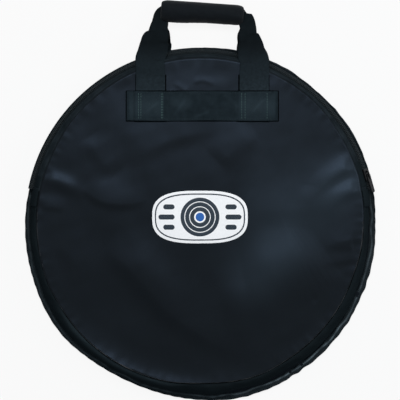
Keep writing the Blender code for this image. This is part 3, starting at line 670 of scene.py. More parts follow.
def gusset_line(azimuths):
    """The side wall's section at each azimuth, from the front seam down to the back binding."""
    swell_height, crumple_height, wall_length = 0.0013, 0.00035, 0.05
    tuck_height, tuck_place, tuck_width = 0.0007, 0.16, 0.12
    kink_height, kink_place, kink_wander, kink_width = 0.0022, 0.62, 0.05, 0.055
    kink_degrees = (268, 284, 322, 338)
    tab_fold_height, tab_fold_place, tab_fold_width = 0.0016, 0.55, 0.07
    before_tab, after_tab = (330, 350), (2, 12)
    push_out, push_up = 0.8, 0.5
    top = (seam_at(azimuths) + seam_lap, seam_level(azimuths))
    foot = (rim_radius(azimuths), rim_top + foot_gap)
    radii, heights = section_line(gusset_shares, top, foot, azimuths)
    share = np.linspace(0.0, 1.0, len(radii))[:, None]
    middle = np.sin(math.pi * share)
    length = azimuths * gusset_radius
    swell = swell_height * gusset_swell(length, share * wall_length)
    crumple = crumple_height * gusset_crumple(length, share * wall_length)
    tuck = tuck_height * uneven_wave(azimuths, 47.0, 2.0, 9.0) * bell(share - tuck_place, tuck_width)
    degrees = np.degrees(azimuths) % 360.0
    kink = kink_height * bell(share - kink_place - kink_wander * np.sin(degrees * 0.35), kink_width)
    kink = kink * within(degrees, *kink_degrees)
    by_tab = np.maximum(smooth_step(degrees, *before_tab), 1.0 - smooth_step(degrees, *after_tab))
    tab_fold = tab_fold_height * bell(share - tab_fold_place, tab_fold_width) * by_tab
    push = (swell + crumple) * middle + tuck + kink + tab_fold
    return radii + push * push_out, heights + push * push_up * (1.0 - share)


def make_gusset():
    """The side wall of the lower half with its padding."""
    end_gap = 0.001
    azimuths = np.linspace(math.pi - zip_end + end_gap, 2.0 * math.pi + zip_end - end_gap, gusset_steps)
    line = gusset_line(azimuths)
    gusset = cloth("gusset", turned(line, azimuths), plain_cloth_thickness, outward=(0, -1, 0))
    x, y = plan_of(gusset)
    azimuth = np.arctan2(y, x)
    out = np.hypot(x, y) - seam_at(azimuth)
    # Painted light: the top of the wall is painted paler between 206 and 268 degrees, against the shade of
    # the panel's turned-up edge
    paler, paler_out, paler_width = 0.32, 0.0030, 0.0050
    paler_degrees = (206.0, 226.0, 250.0, 268.0)
    window = within(np.degrees(azimuth) % 360.0, *paler_degrees)
    paint(gusset, paler * window * bell(out - paler_out, paler_width))
    place(gusset, gusset_cloth, "case", ("lower_gusset_outer",))

    behind_cloth, foam_depth = 0.0014, padding_thickness - 0.0004
    free_rows = slice(8, -5)
    azimuths = azimuths[::3]
    radii, heights = gusset_line(azimuths)
    outer = turned((radii[free_rows], heights[free_rows]), azimuths)
    behind = outer - normals_of(outer, (0, -1, 0)) * behind_cloth
    padding = cloth("gusset_padding", behind, foam_depth, outward=(0, -1, 0))
    place(padding, lining_taffeta, "case", ("lower_gusset_foam", "lower_gusset_lining"))


def make_back_binding():
    """Ribbed tape folded over the back seam all the way round, with a painted highlight along its crest."""
    squareness, wave_height = 0.36, 0.00025
    kink_height, kink_degrees = 0.0011, (274, 290, 336, 350)
    half_width = 0.0057
    half_height = (rim_top - rim_lift) / 2.0
    azimuths = full_turn(binding_steps)
    quarter_deg = np.array([0.0, 22.5, 45.0, 67.5, 85.0, 89.0, 90.0])
    half_turn_deg = np.concatenate([quarter_deg, 180.0 - quarter_deg[-2::-1]])
    angles = np.radians(np.concatenate([half_turn_deg, -half_turn_deg[-2:0:-1]]))[:, None]
    across = np.sign(np.cos(angles)) * np.abs(np.cos(angles)) ** squareness * half_width
    up = np.sign(np.sin(angles)) * np.abs(np.sin(angles)) ** squareness * half_height
    wave = wave_height * uneven_wave(azimuths, 83.0, 2.0, 11.0)
    kinked = within(np.degrees(azimuths), *kink_degrees)
    kinks = kink_height * kinked * uneven_wave(azimuths, 43.0, 2.2, 19.0)
    radii = outside_radius - half_width + rim_bulge(azimuths) + wave + 0.5 * kinks + across
    heights = rim_lift + half_height + 0.6 * wave + kinks + up
    binding = surface("back_binding", turned((radii, heights), azimuths), wrap_columns=True)

    crest_width, crest_wander, mean_strength, strength_swing = 0.20, 0.20, 0.70, 0.30
    x, y = plan_of(binding)
    azimuth = np.arctan2(y, x)
    degrees = np.degrees(azimuth) % 360.0
    place_across = (np.hypot(x, y) - outside_radius + half_width - rim_bulge(azimuth)) / half_width
    crest = np.interp(degrees, crest_degrees, crest_places)
    crest = crest + crest_wander * uneven_wave(azimuth, 23.0, 2.0, 9.0)
    broken = mean_strength + strength_swing * uneven_wave(azimuth, 61.0, 3.0, 17.0)
    strength = np.interp(degrees, crest_degrees, crest_strengths) * broken
    # Painted highlight: a paler tone along the crest, broken up along the way round
    paint(binding, strength * bell(place_across - crest, crest_width))
    place(binding, painted_light_tape, "case", ("back_seam_binding",))


def make_inner_binding():
    """Tape over the front seam's allowance, on the inside."""
    inset, half_width, below_seam, half_height = 0.0002, 0.0011, 0.0052, 0.0034
    azimuths = full_turn(inner_binding_steps[0])
    angles = full_turn(inner_binding_steps[1])[:, None]
    radii = seam_at(azimuths) - inset + half_width * np.cos(angles)
    heights = seam_level(azimuths) - below_seam + half_height * np.sin(angles)
    binding = surface("inner_binding", turned((radii, heights), azimuths), wrap_columns=True)
    nodes = ("front_seam_binding_lower", "front_seam_binding_upper")
    place(binding, ribbed_tape, nodes=nodes)
    bend_at_fold(binding)


def zip_azimuths(step_length):
    """Azimuths along the zip in steps of about one length."""
    count = round((math.pi - 2.0 * zip_end) * zip_radius / step_length)
    return np.linspace(zip_end, math.pi - zip_end, count + 1)


def front_strip_line(azimuths):
    """The front strip's section at each azimuth, from its turned-in seam edge to the zip."""
    wave_height, wave_length = 0.00045, 0.02
    crumple_height, crumple_length = 0.0002, 0.03
    turned_in, turned_down = 0.0048, 0.0015
    window = zip_point(-zip_opening_half, zip_window_out)
    start = (seam_at(azimuths) + seam_lap, seam_level(azimuths))
    radii, heights = section_line(front_strip_shares, start, window, azimuths)
    share = np.linspace(0.0, 1.0, len(radii))[:, None]
    middle = np.sin(math.pi * share)
    length = azimuths * zip_radius
    wave = wave_height * gusset_swell(length, share * wave_length) * middle
    wave = wave + crumple_height * gusset_crumple(length, share * crumple_length) * middle
    edge = (seam_at(azimuths) - turned_in, seam_level(azimuths) - turned_down)
    return np.vstack([edge[0], radii + wave]), np.vstack([edge[1], heights + wave])


def make_zip_strips():
    """The cloth strips beside the zip, whose edges are turned under."""
    azimuths = zip_azimuths(strip_step)
    line = front_strip_line(azimuths)
    strip = cloth("front_zip_strip", turned(line, azimuths), strip_thickness, outward=(0, 1, 0))
    nodes = ("zip_gusset_front_strip", "zip_front_end_left", "zip_front_end_right")
    place(strip, strip_cloth, nodes=nodes)
    bend_at_fold(strip)

    foot_out, crumple_height, crumple_length = 0.0011, 0.00035, 0.03
    window = zip_point(zip_opening_half, zip_window_out)
    foot = (window[0] + foot_out + rim_bulge(azimuths), rim_top + foot_gap)
    radii, heights = section_line(back_strip_shares, window, foot, azimuths)
    share = np.linspace(0.0, 1.0, len(radii))[:, None]
    wave = crumple_height * gusset_crumple(azimuths * zip_radius, share * crumple_length)
    wave = wave * np.sin(math.pi * share)
    grid = turned((radii + wave, heights), azimuths)
    strip = cloth("back_zip_strip", grid, strip_thickness, outward=(0, 1, 0))
    place(strip, strip_cloth, "case", ("zip_gusset_back_strip",))


def from_ends(azimuths):
    """Length along the zip from each azimuth to the nearer end of them all."""
    return np.minimum(azimuths - azimuths[0], azimuths[-1] - azimuths) * zip_radius


def make_strip_ends():
    """Patches sewn over both ends of the front strip."""
    lie, rise, edge_width, push_out, push_up = 0.0004, 0.0008, 0.0015, 0.8, 0.6
    for name, low_y, high_y, mirror in (
        ("strip_end_right", 0.0640, 0.1070, 1), ("strip_end_left", 0.0630, 0.0830, -1),
    ):
        azimuths = np.linspace(math.asin(low_y / zip_radius), math.asin(high_y / zip_radius), patch_steps)
        places = azimuths if mirror > 0 else math.pi - azimuths
        radii, heights = front_strip_line(places)
        lift = lie + rise * smooth_step(from_ends(azimuths), 0.0, edge_width)
        grid = turned((radii + push_out * lift, heights + push_up * lift), places)[2:-2]
        patch = cloth(name, grid, patch_thickness, outward=(mirror, 0, 1))
        place(patch, gusset_cloth)
        bend_at_fold(patch)


def make_zip_tapes():
    """The woven tapes that carry the coils."""
    across = np.array(tape_across)[:, None]
    sink = np.array(tape_sink)[:, None]
    azimuths = zip_azimuths(tape_step)
    for side, name, node in (
        (-1, "front_zip_tape", "zip_tape_front"), (1, "back_zip_tape", "zip_tape_back"),
    ):
        radii, heights = zip_point(side * across, sink)
        grid = turned((radii + 0.0 * azimuths, heights + 0.0 * azimuths), azimuths)
        tape = cloth(name, grid, tape_thickness, outward=(0, 1, 1))
        place(tape, herringbone_tape, "case" if side > 0 else None, (node,))
        if side < 0:
            bend_at_fold(tape)


def make_zip_coils():
    """Both halves of the coil: one slanted loop of nylon wire for each tooth."""
    steps, sides = loop_steps
    turn = full_turn(steps)
    side_angle = full_turn(sides)
    half_reach = (tooth_reach + tooth_overlap) / 2.0 - tooth_wire
    half_height = tooth_height / 2.0 - tooth_wire
    across = (tooth_reach - tooth_overlap) / 2.0 + half_reach * np.cos(turn)
    out = fit_gap + tooth_height / 2.0 + half_height * np.sin(turn)
    along = -tooth_slant * np.cos(turn) * np.sign(np.sin(turn) + 1e-9) / 2.0
    ring_across = across[:, None] + tooth_wire * np.cos(turn)[:, None] * np.cos(side_angle)
    ring_out = out[:, None] + tooth_wire * np.sin(turn)[:, None] * np.cos(side_angle)
    ring_along = along[:, None] + tooth_wire * np.sin(side_angle)[None, :]
    count = round((math.pi - 2.0 * zip_end) * zip_radius / tooth_pitch)
    step = (math.pi - 2.0 * zip_end) / count
    i, j = np.meshgrid(np.arange(steps), np.arange(sides), indexing="ij")
    i = i.ravel() * sides
    next_i = (i + sides) % (steps * sides)
    j = j.ravel()
    next_j = (j + 1) % sides
    loop = np.stack([i + j, i + next_j, next_i + next_j, next_i + j], 1)
    for side, name, share, nodes in (
        (-1, "front_zip_coil", 0.25, ("zip_coil_front", "zip_coil_end_left", "zip_coil_end_right")),
        (1, "back_zip_coil", 0.75, ("zip_coil_back",)),
    ):
        azimuths = zip_end + step * (np.arange(count) + share)
        radii, heights = zip_point(side * ring_across, ring_out)
        turns = azimuths[:, None, None] + ring_along[None] / zip_radius
        x = radii[None] * np.cos(turns)
        y = radii[None] * np.sin(turns)
        points = np.stack([x, y, np.broadcast_to(heights[None], x.shape)], 3).reshape(-1, 3)
        faces = (loop[None] + (np.arange(count) * steps * sides)[:, None, None]).reshape(-1, 4)
        coil = make_mesh(name, points, faces)
        place(coil, coil_nylon, "case" if side > 0 else None, nodes)
        if side < 0:
            bend_at_fold(coil)


def make_end_tabs():
    """Webbing tabs sewn over the side wall where the zip stops."""
    lie, rise, edge_width, bow_height, roundness = 0.0006, 0.0012, 0.0012, 0.0006, 0.7
    before_tab, past_zip = 0.004, 0.010
    for name, node, mirror in (
        ("end_tab_right", "zip_end_tab_right", 1), ("end_tab_left", "zip_end_tab_left", -1),
    ):
        azimuths = np.linspace(tab_start - before_tab, zip_end + past_zip, end_tab_steps)
        places = azimuths if mirror > 0 else math.pi - azimuths
        radii, heights = gusset_line(places)
        share = np.linspace(0.0, 1.0, len(radii))[:, None]
        push = lie + rise * smooth_step(from_ends(azimuths), 0.0, edge_width)
        push = push + bow_height * np.sin(math.pi * share)
        out = np.sin(math.pi * share * 0.5) ** roundness
        up = np.cos(math.pi * share * 0.5) ** roundness
        grid = turned((radii + push * out, heights + push * up), places)[2:-3]
        tab = cloth(name, grid, end_tab_thickness, outward=(mirror, 0, 0))
        place(tab, gusset_cloth, "case", (node,))


def loop_path(hinge_y, lean=(0.0, 0.0), narrower=1.0):
    """Middle line and half width of a handle loop in plan, from the left foot to the right foot."""
    slope = math.tan(math.radians(grip_tilt_deg))
    halves = []
    for side, shares, bow in ((-1, left_leg_shares, lean[0]), (1, right_leg_shares, lean[1])):
        rows = smooth_curve(shares, leg_steps)
        offset = side * rows[:, 1] * strap_spacing / 2.0
        y = front_hinge_y + rows[:, 0] * (grip_y - front_hinge_y + offset * slope)
        share = np.clip((y - lean_start_y) / (lean_end_y - lean_start_y), 0.0, 1.0)
        x = handle_centre_x + offset - side * bow * np.sin(math.pi * share) ** 2
        free = smooth_step(y, lean_start_y, lean_start_y + narrowing_length)
        half = rows[:, 2] * strap_width / 2.0
        half = np.where(y > lean_end_y, half, half * (1.0 + (narrower - 1.0) * free))
        halves.append(np.stack([x, y, half], 1)[y >= hinge_y])
    return np.concatenate([halves[0], halves[1][-2::-1]])


def grip_loop_height(side):
    """Height of the webbing inside the grip, above or below the plane where its halves meet."""
    return grip_radius + side * (fit_gap + folded_thickness / 2.0)


def front_loop_height(x, y):
    """Middle height of the front webbing: on the panel, level over its rim, then down to the grip."""
    sewn = panel_height(x, np.minimum(y, front_hinge_y)) + fit_gap + webbing_thickness / 2.0
    level = front_leg_height + webbing_thickness / 2.0
    free = level + smooth_step(y, front_leg_level_y, leg_settle_y) * (grip_loop_height(1) - level)
    share = smooth_step(y, front_hinge_y, front_leg_level_y)
    return sewn * (1.0 - share) + free * share


def back_loop_height(x, y):
    """Middle height of the back webbing: under the panel's rim, then up to the grip."""
    start = rim_lift - fit_gap - webbing_thickness / 2.0
    return start + smooth_step(y, back_leg_level_y, leg_settle_y) * (grip_loop_height(-1) - start) + 0.0 * x


def strap_grid(path, height_at, pleat_side):
    """A closed skin round webbing that runs along a path in plan."""
    corner_length, edge_power, edge_root = 0.007, 7, 1.0 / 3.0
    pleat_height, pleat_count, late_pleats = 0.0005, 2.6, 0.35
    sway_height, sway_width = 0.0002, 0.02
    xy = path[:, :2]
    half = path[:, 2]
    along = np.gradient(xy, axis=0)
    along = along / np.linalg.norm(along, axis=1, keepdims=True)
    across = np.stack([along[:, 1], -along[:, 0]], 1)
    side = np.sin(np.linspace(-math.pi / 2.0, math.pi / 2.0, strap_steps_across))[:, None]
    folding = smooth_step(xy[:, 1], back_leg_level_y, leg_settle_y)
    thickness = webbing_thickness + folding * (folded_thickness - webbing_thickness)
    x = xy[None, :, 0] + side * half[None] * across[None, :, 0]
    y = xy[None, :, 1] + side * half[None] * across[None, :, 1]
    beside = smooth_step(np.abs(x - handle_centre_x), grip_length / 2.0, grip_length / 2.0 + corner_length)
    axis_y = grip_y + (x - handle_centre_x) * math.tan(math.radians(grip_tilt_deg))
    y = y - beside * np.maximum(y - axis_y - folded_corner_top, 0.0)
    own_y = 0.25
    middle = height_at(x, np.broadcast_to(xy[None, :, 1], x.shape) * (1.0 - own_y) + y * own_y)
    narrowing = np.sin(math.pi * np.clip(folding, 0.0, 1.0)) + late_pleats * folding
    pleats = pleat_height * narrowing * np.cos(side * pleat_count * math.pi) * pleat_side
    sway = sway_height * smooth_step(xy[:, 1], front_hinge_y, front_leg_level_y)
    middle = middle + pleats + sway * webbing_sway(lengths_along(xy), side * sway_width)
    rise = thickness[None] / 2.0 * (1.0 - np.abs(side) ** edge_power) ** edge_root
    top = np.stack([x, y, middle + rise], 2)
    bottom = np.stack([x, y, middle - rise], 2)
    return np.concatenate([top, bottom[::-1]])


def make_handle_webbing():
    """Front and back webbing: both straps and the loop between them are one length."""
    for name, hinge_y, height_at, bodies, nodes, pleat_side, loop in (
        ("front_webbing", front_hinge_y, front_loop_height, ("lid", "front_handle"),
         ("front_strap_left", "front_strap_right", "front_handle_webbing"), 1, loop_path(front_hinge_y)),
        ("back_webbing", back_hinge_y, back_loop_height, ("case", "back_handle"),
         ("back_strap_left", "back_strap_right", "back_handle_webbing"), -1,
         loop_path(back_hinge_y, back_lean, back_loop_narrower)),
    ):
        sewn_y = np.linspace(strap_start_y, hinge_y, sewn_steps)[:-1]
        half = np.full(len(sewn_y), strap_width / 2.0)
        left = np.stack([np.full(len(sewn_y), strap_middles[0]), sewn_y, half], 1)
        right = np.stack([np.full(len(sewn_y), strap_middles[1]), sewn_y[::-1], half], 1)
        webbing = surface(name, strap_grid(np.concatenate([left, loop, right]), height_at, pleat_side))
        place(webbing, handle_webbing, nodes=nodes)
        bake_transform(webbing)


def strap_cover(x):
    """Share of a strap's thickness that lies under the cross strip at a place across the bag."""
    before_edge, past_edge = 0.0005, 0.0060
    beyond = np.minimum(np.abs(x - strap_middles[0]), np.abs(x - strap_middles[1])) - strap_width / 2.0
    return 1.0 - smooth_step(beyond, -before_edge, past_edge)


def cross_strip_top(x, y):
    """Height of the cross strip's upper face on the front panel."""
    slackness = 0.0005
    lift = fit_gap + webbing_thickness + strap_cover(x) * (webbing_thickness + fit_gap)
    slack = slackness * panel_swell(x * 2.0, y * 2.0) * (1.0 - strap_cover(x))
    return panel_height(x, y) + lift + slack


def back_strip_level(x, y):
    """Height of the back cross strip's lower face, which clears the straps."""
    return back_strip_low.z + (1.0 - strap_cover(x)) * (webbing_thickness + fit_gap) + 0.0 * y


def make_cross_strips():
    """The strips sewn across both straps, on the front and on the back."""
    inset, edge_sway, sway_count = 0.0004, 0.0004, 44.0
    hem_thickness, hem_end = 0.0009, 0.0105
    x = np.linspace(strip_low.x + inset, strip_high.x - inset, cross_strip_steps[0])[None, :]
    y = np.linspace(strip_low.y, strip_high.y, cross_strip_steps[1])[:, None]
    y = y + edge_sway * np.sin(x * sway_count + 1.0)
    x = x + 0.0 * y
    from_hem = np.minimum(x - x.min(), x.max() - x)
    hem_rise = hem_thickness * (1.0 - smooth_step(from_hem, strip_hem_width, hem_end))
    grid = np.stack([x, y, cross_strip_top(x, y) + hem_rise], 2)
    front = cloth("front_strip", grid, webbing_thickness + hem_rise, outward=(0, 0, 1))
    # Paler streaks painted on as highlights
    paint_streaks(front, strip_streaks)
    place(front, strip_webbing, "lid", ("front_cross_strip",))

    grid = np.stack([x, y, back_strip_level(x, y)], 2)
    back = cloth("back_strip", grid, webbing_thickness, outward=(0, 0, -1))
    place(back, handle_webbing, "case", ("back_cross_strip",))


def grip_place(along, across, up):
    """A point of the grip, from the middle of its axis."""
    tilt = math.radians(grip_tilt_deg)
    x = handle_centre_x + along * math.cos(tilt) - across * math.sin(tilt)
    y = grip_y + along * math.sin(tilt) + across * math.cos(tilt)
    return np.stack([x, y, grip_radius + up + 0.0 * x], -1)


def make_grip_pad(name, node, body, side):
    """One puffy half of the grip, with a channel for the webbing and an open lower wall at each leg."""
    swell_height, highest_swell, setback = 0.00045, 0.0006, 0.0004
    crease_height, crease_count, creased_from, creased_to = 0.00030, 260.0, 0.040, 0.062
    hem_height, hem_count, hem_back, hem_width = 0.0004, 700.0, 0.16, 0.07
    end_scale, wall_slope = 0.70, 0.003
    full_from, full_to = -0.012, 0.050
    half = grip_length / 2.0
    gap = fit_gap / 2.0
    closer_share = 0.55
    closer = np.sin(np.linspace(-math.pi / 2.0, math.pi / 2.0, grip_steps[0]))
    along = (closer_share * closer + (1.0 - closer_share) * np.linspace(-1.0, 1.0, grip_steps[0])) * half
    rounding = np.clip(1.0 - (half - np.abs(along)) / grip_round_end, 0.0, 1.0)
    scale = end_scale + (1.0 - end_scale) * np.sqrt(1.0 - rounding ** 2)
    leg = smooth_step(np.abs(along), grip_wall_half_length, grip_wall_half_length + wall_slope)
    wall = gap + hook_tape_thickness + fit_gap
    wall_height = wall + leg * (grip_open_height - wall)
    t = np.linspace(0.0, 1.0, grip_steps[1])[:, None]
    first = math.asin(gap / grip_radius)
    last = math.pi - np.arcsin(wall_height / grip_radius)
    angle = first + (last - first) * t
    crease = np.sin(along * crease_count + 2.0 * np.sin(angle * 2.0))
    crease = crease * smooth_step(np.abs(along), creased_from, creased_to)
    swell = swell_height * pad_swell(along[None], angle * grip_radius) + crease_height * crease
    hem = bell(angle - last + hem_back, hem_width) * (0.5 + 0.5 * np.sin(along * hem_count)) * hem_height
    radius = (grip_radius - setback + np.minimum(swell, highest_swell) * np.sin(angle) + hem) * scale
    low_side = smooth_step(angle, math.pi * 0.45, math.pi * 0.80)
    fullness = grip_left_fullness * smooth_step(-along, full_from, full_to) * low_side
    outer_y = radius * np.cos(angle) - fullness
    outer_z = np.maximum(radius * np.sin(angle), gap)

    ceiling = 2.0 * fit_gap + folded_thickness
    rise = ceiling - gap
    turn = rise + 2.0 * grip_channel_half
    s = t * (turn + ceiling - wall_height)
    roof_y = np.where(s < turn, grip_channel_half - (s - rise), -grip_channel_half)
    inner_y = np.where(s < rise, grip_channel_half, roof_y)
    inner_z = np.where(s < rise, gap + s, np.where(s < turn, ceiling, ceiling - (s - turn)))
    inner_z = np.maximum(inner_z, np.minimum(wall_height, ceiling) * (inner_y < 0))
    across = np.concatenate([outer_y, (inner_y + 0.0 * along)[::-1]])
    up = np.concatenate([outer_z, inner_z[::-1]])
    pad = surface(name, grip_place(along[None] + 0.0 * across, across, side * up))
    place(pad, grip_knit, body, (node,))


def make_grip_tape(name, node, body, side, finish):
    """Hook or loop tape on the lower wall, with rows of small tufts that meet the other half."""
    tuft_height, tuft_length, tuft_width, tuft_share = 0.0004, 0.0020, 0.00125, 0.0003
    gap = fit_gap / 2.0
    outer = -math.sqrt(grip_radius ** 2 - (gap + hook_tape_thickness) ** 2) + fit_gap
    along = np.linspace(-hook_tape_half_length, hook_tape_half_length, hook_tape_steps[0])[None, :]
    across = outer + np.linspace(0.0, hook_tape_width, hook_tape_steps[1])[:, None]
    tufts = np.abs(np.sin(along * math.pi / tuft_length) * np.sin((across - outer) * math.pi / tuft_width))
    up = gap + tuft_height - tuft_height * tufts
    grid = grip_place(along + 0.0 * up, across + 0.0 * up, side * up)
    tape = cloth(name, grid, hook_tape_thickness - tuft_share, outward=(0, 0, -side))
    place(tape, finish, body, (node,))


def make_grip():
    """Both halves of the grip."""
    make_grip_pad("front_grip", "grip_pad_front", "front_handle", 1)
    make_grip_pad("back_grip", "grip_pad_back", "back_handle", -1)
    make_grip_tape("loop_tape", "grip_loop_tape", "front_handle", 1, loop_pile)
    make_grip_tape("hook_tape", "grip_hook_tape", "back_handle", -1, hook_pile)


def stitch_shape():
    """One stitch of thread along X, sunk into the cloth at both ends."""
    sides = stitch_sides
    stations = np.array([-0.5, -0.36, 0.0, 0.36, 0.5])
    bulge = np.array([0.35, 0.85, 1.0, 0.85, 0.35])
    sink = np.array([-0.75, -0.10, 0.12, -0.10, -0.75])
    angles = full_turn(sides)
    x = np.repeat(stations * stitch_length, sides)
    y = (bulge[:, None] * np.cos(angles)).ravel() * stitch_thickness / 2.0
    z = ((bulge[:, None] * np.sin(angles)) / 2.0 + sink[:, None]).ravel() * stitch_thickness
    faces = []
    for i in range(0, (len(stations) - 1) * sides, sides):
        for j in range(sides):
            k = (j + 1) % sides
            faces.append((i + j, i + k, i + sides + k, i + sides + j))
    for start in (0, (len(stations) - 1) * sides):
        faces.append((start, start + 1, start + 4, start + 5))
        faces.append((start + 1, start + 2, start + 3, start + 4))
    return np.stack([x, y, z], 1), np.array(faces)


def stitch_places(line, outward):
    """Middle of each stitch along a line of points, its direction, and the direction out of the cloth."""
    reached = lengths_along(line)
    pitch = stitch_length + stitch_gap
    look = 0.4 * pitch
    count = max(int(reached[-1] / pitch), 1)
    spots = (np.arange(count) + 0.5) * reached[-1] / count

    def at(distance, values):
        return np.stack([np.interp(distance, reached, values[:, k]) for k in range(3)], 1)

    along = at(spots + look, line) - at(spots - look, line)
    along = along / np.maximum(np.linalg.norm(along, axis=1, keepdims=True), 1e-9)
    normal = at(spots, np.broadcast_to(np.asarray(outward, float), line.shape))
    return at(spots, line), along, normal


def make_thread(name, lines):
    """Rows of stitches. Each row is a line of points and the directions out of the cloth there."""
    shape, faces = stitch_shape()
    points = []
    all_faces = []
    total = 0
    for line, outward in lines:
        middles, along, normal = stitch_places(line, outward)
        sideways = np.cross(normal, along)
        sideways = sideways / np.maximum(np.linalg.norm(sideways, axis=1, keepdims=True), 1e-9)
        normal = np.cross(along, sideways)
        turned_shape = (
            shape[None, :, 0:1] * along[:, None] + shape[None, :, 1:2] * sideways[:, None]
            + shape[None, :, 2:3] * normal[:, None]
        )
        points.append((middles[:, None] + turned_shape).reshape(-1, 3))
        starts = total + np.arange(len(middles)) * len(shape)
        all_faces.append((faces[None] + starts[:, None, None]).reshape(-1, 4))
        total += len(middles) * len(shape)
    return make_mesh(name, np.concatenate(points), np.concatenate(all_faces))


def plan_line(start, end, height_at, count=thread_steps):
    """A straight line in plan laid on a surface."""
    x = np.linspace(start[0], end[0], count)
    y = np.linspace(start[1], end[1], count)
    return np.stack([x, y, height_at(x, y)], 1), (0.0, 0.0, 1.0)


def make_shadow_ribbons(name, rows):
    """Flat ribbons of painted shadow along rows, each a line of points, the direction out of the cloth and a
    half width.
    """
    half_thickness = 0.0003
    points = []
    faces = []
    total = 0
    corner = np.arange(4)[None]
    next_corner = (corner + 1) % 4
    for line, outward, half_width in rows:
        along = np.gradient(line, axis=0)
        along = along / np.linalg.norm(along, axis=1, keepdims=True)
        out = np.broadcast_to(np.asarray(outward, float), line.shape)
        side = np.cross(out, along) * half_width
        up = half_thickness * out
        points.append(np.stack([line - side, line + up, line + side, line - up], 1).reshape(-1, 3))
        start = total + np.arange(len(line) - 1)[:, None] * 4
        after = start + 4
        ring = np.stack([start + corner, start + next_corner, after + next_corner, after + corner], -1)
        faces.append(ring.reshape(-1, 4))
        total += 4 * len(line)
    return make_mesh(name, np.concatenate(points), np.concatenate(faces))


def make_strap_thread():
    """Thread that holds the webbing: pale rows across the strip, faint crosses and edge rows."""
    low_y = strip_low.y + stitch_margin
    high_y = strip_high.y - stitch_margin
    start_x = strip_low.x + stitch_margin
    end_x = strip_high.x - stitch_margin
    hem_x = start_x + strip_hem_width
    end_rows = (0.0012, 0.0050)
    pale = []
    faint = []
    for middle, left, right, offsets in (
        (strap_middles[0], -0.0174, 0.0198, (-0.0198, -0.0158, 0.0186, 0.0208)),
        (strap_middles[1], -0.0211, 0.0215, (-0.0211, -0.0154, 0.0215)),
    ):
        for offset in offsets:
            pale.append(plan_line((middle + offset, low_y), (middle + offset, high_y), cross_strip_top))
        faint.append(plan_line((middle + left, low_y), (middle + right, high_y), cross_strip_top))
        faint.append(plan_line((middle + left, high_y), (middle + right, low_y), cross_strip_top))
    for inset in end_rows:
        pale.append(plan_line((end_x - inset, low_y), (end_x - inset, high_y), cross_strip_top))
    for y in (low_y, high_y):
        faint.append(plan_line((start_x, y), (end_x, y), cross_strip_top, long_thread_steps))
    faint.append(plan_line((hem_x, low_y), (hem_x, high_y), cross_strip_top))
    place(make_thread("strap_thread", pale), pale_thread, "lid")
    place(make_thread("strap_cross_thread", faint), bonded_thread, "lid")


def make_strap_shadow_lines():
    """Painted shadow: black ribbons round the front cross strip, and beside the sewn straps above it."""
    edge, past_hinge = 0.0007, 0.007
    round_strip, wide, narrow = 0.0008, 0.0012, 0.0006
    round_lift, side_lift = 0.0002, 0.0003

    def beside_strip(x, y):
        return panel_height(x, y) + strap_cover(x) * (webbing_thickness + fit_gap) + round_lift

    def lifted_panel(x, y):
        return panel_height(x, y) + side_lift

    low_x, high_x = strip_low.x - edge, strip_high.x + edge
    low_y, high_y = strip_low.y - edge, strip_high.y + edge
    corners = ((low_x, low_y), (high_x, low_y), (high_x, high_y), (low_x, high_y))
    rows = []
    for k in range(4):
        rows.append((*plan_line(corners[k], corners[(k + 1) % 4], beside_strip, edging_steps), round_strip))
    for middle in strap_middles:
        inner = -1 if middle > 0.0 else 1
        for side, half_width in ((inner, wide), (-inner, narrow)):
            x = middle + side * (strap_width / 2.0 + 0.8 * half_width)
            line = plan_line((x, high_y), (x, front_hinge_y + past_hinge), lifted_panel)
            rows.append((*line, half_width))
    place(make_shadow_ribbons("strap_painted_shadow", rows), painted_shadow_black, "lid")


def make_back_thread():
    """Crossed boxes over the straps and two long rows on the back strip, seen from underneath."""
    box_inset = 0.0022
    inset = strap_width / 2.0 - box_inset
    low_y = back_strip_low.y + stitch_margin
    high_y = back_strip_high.y - stitch_margin
    ends = []
    for middle in strap_middles:
        left, right = middle - inset, middle + inset
        corners = ((left, low_y), (right, low_y), (right, high_y), (left, high_y))
        for a, b in ((0, 1), (1, 2), (2, 3), (3, 0), (0, 2), (1, 3)):
            ends.append((corners[a], corners[b], thread_steps))
    start_x, end_x = back_strip_low.x + stitch_margin, back_strip_high.x - stitch_margin
    for y in (low_y, high_y):
        ends.append(((start_x, y), (end_x, y), long_thread_steps))
    lines = [(plan_line(a, b, back_strip_level, count)[0], (0.0, 0.0, -1.0)) for a, b, count in ends]
    place(make_thread("back_thread", lines), bonded_thread, "case")


def make_seam_thread():
    """Topstitching beside the zip and on the binding."""
    azimuths = zip_azimuths(tape_step)[2:-2]
    seam_row = -4
    line = turned(front_strip_line(azimuths), azimuths)[seam_row]
    front = make_thread("front_zip_thread", [(line, out_of_zip(azimuths))])
    place(front, bonded_thread)
    bend_at_fold(front)

    inset = 0.0062
    azimuths = np.linspace(0.0, 2.0 * math.pi, binding_thread_steps)
    radii = outside_radius + rim_bulge(azimuths) - inset
    line = turned((radii[None], rim_lift), azimuths)[0]
    under = make_thread("binding_thread", [(line, (0.0, 0.0, -1.0))])
    place(under, bonded_thread, "case")


def out_of_zip(azimuths):
    """Directions out of the zip at each azimuth."""
    slope = math.radians(zip_slope_deg)
    return np.stack([
        np.cos(azimuths) * math.sin(slope), np.sin(azimuths) * math.sin(slope),
        np.full(len(azimuths), math.cos(slope)),
    ], 1)


# Print on the panel: a long white badge with a cymbal and bars
badge_middle = (-0.0009, 0.0114)
badge_half_width = 0.0800
badge_half_height = 0.0440
badge_power = 2.0 / 2.9
badge_steps = 160
border_inset = 0.0045
border_width = 0.0021
bell_radius = 0.0072
print_thickness = 0.0005
print_softness = 0.0002
print_centre = 0.0002
ground_rise = 0.0006
slate_rise = 0.0009
bell_rise = 0.0008
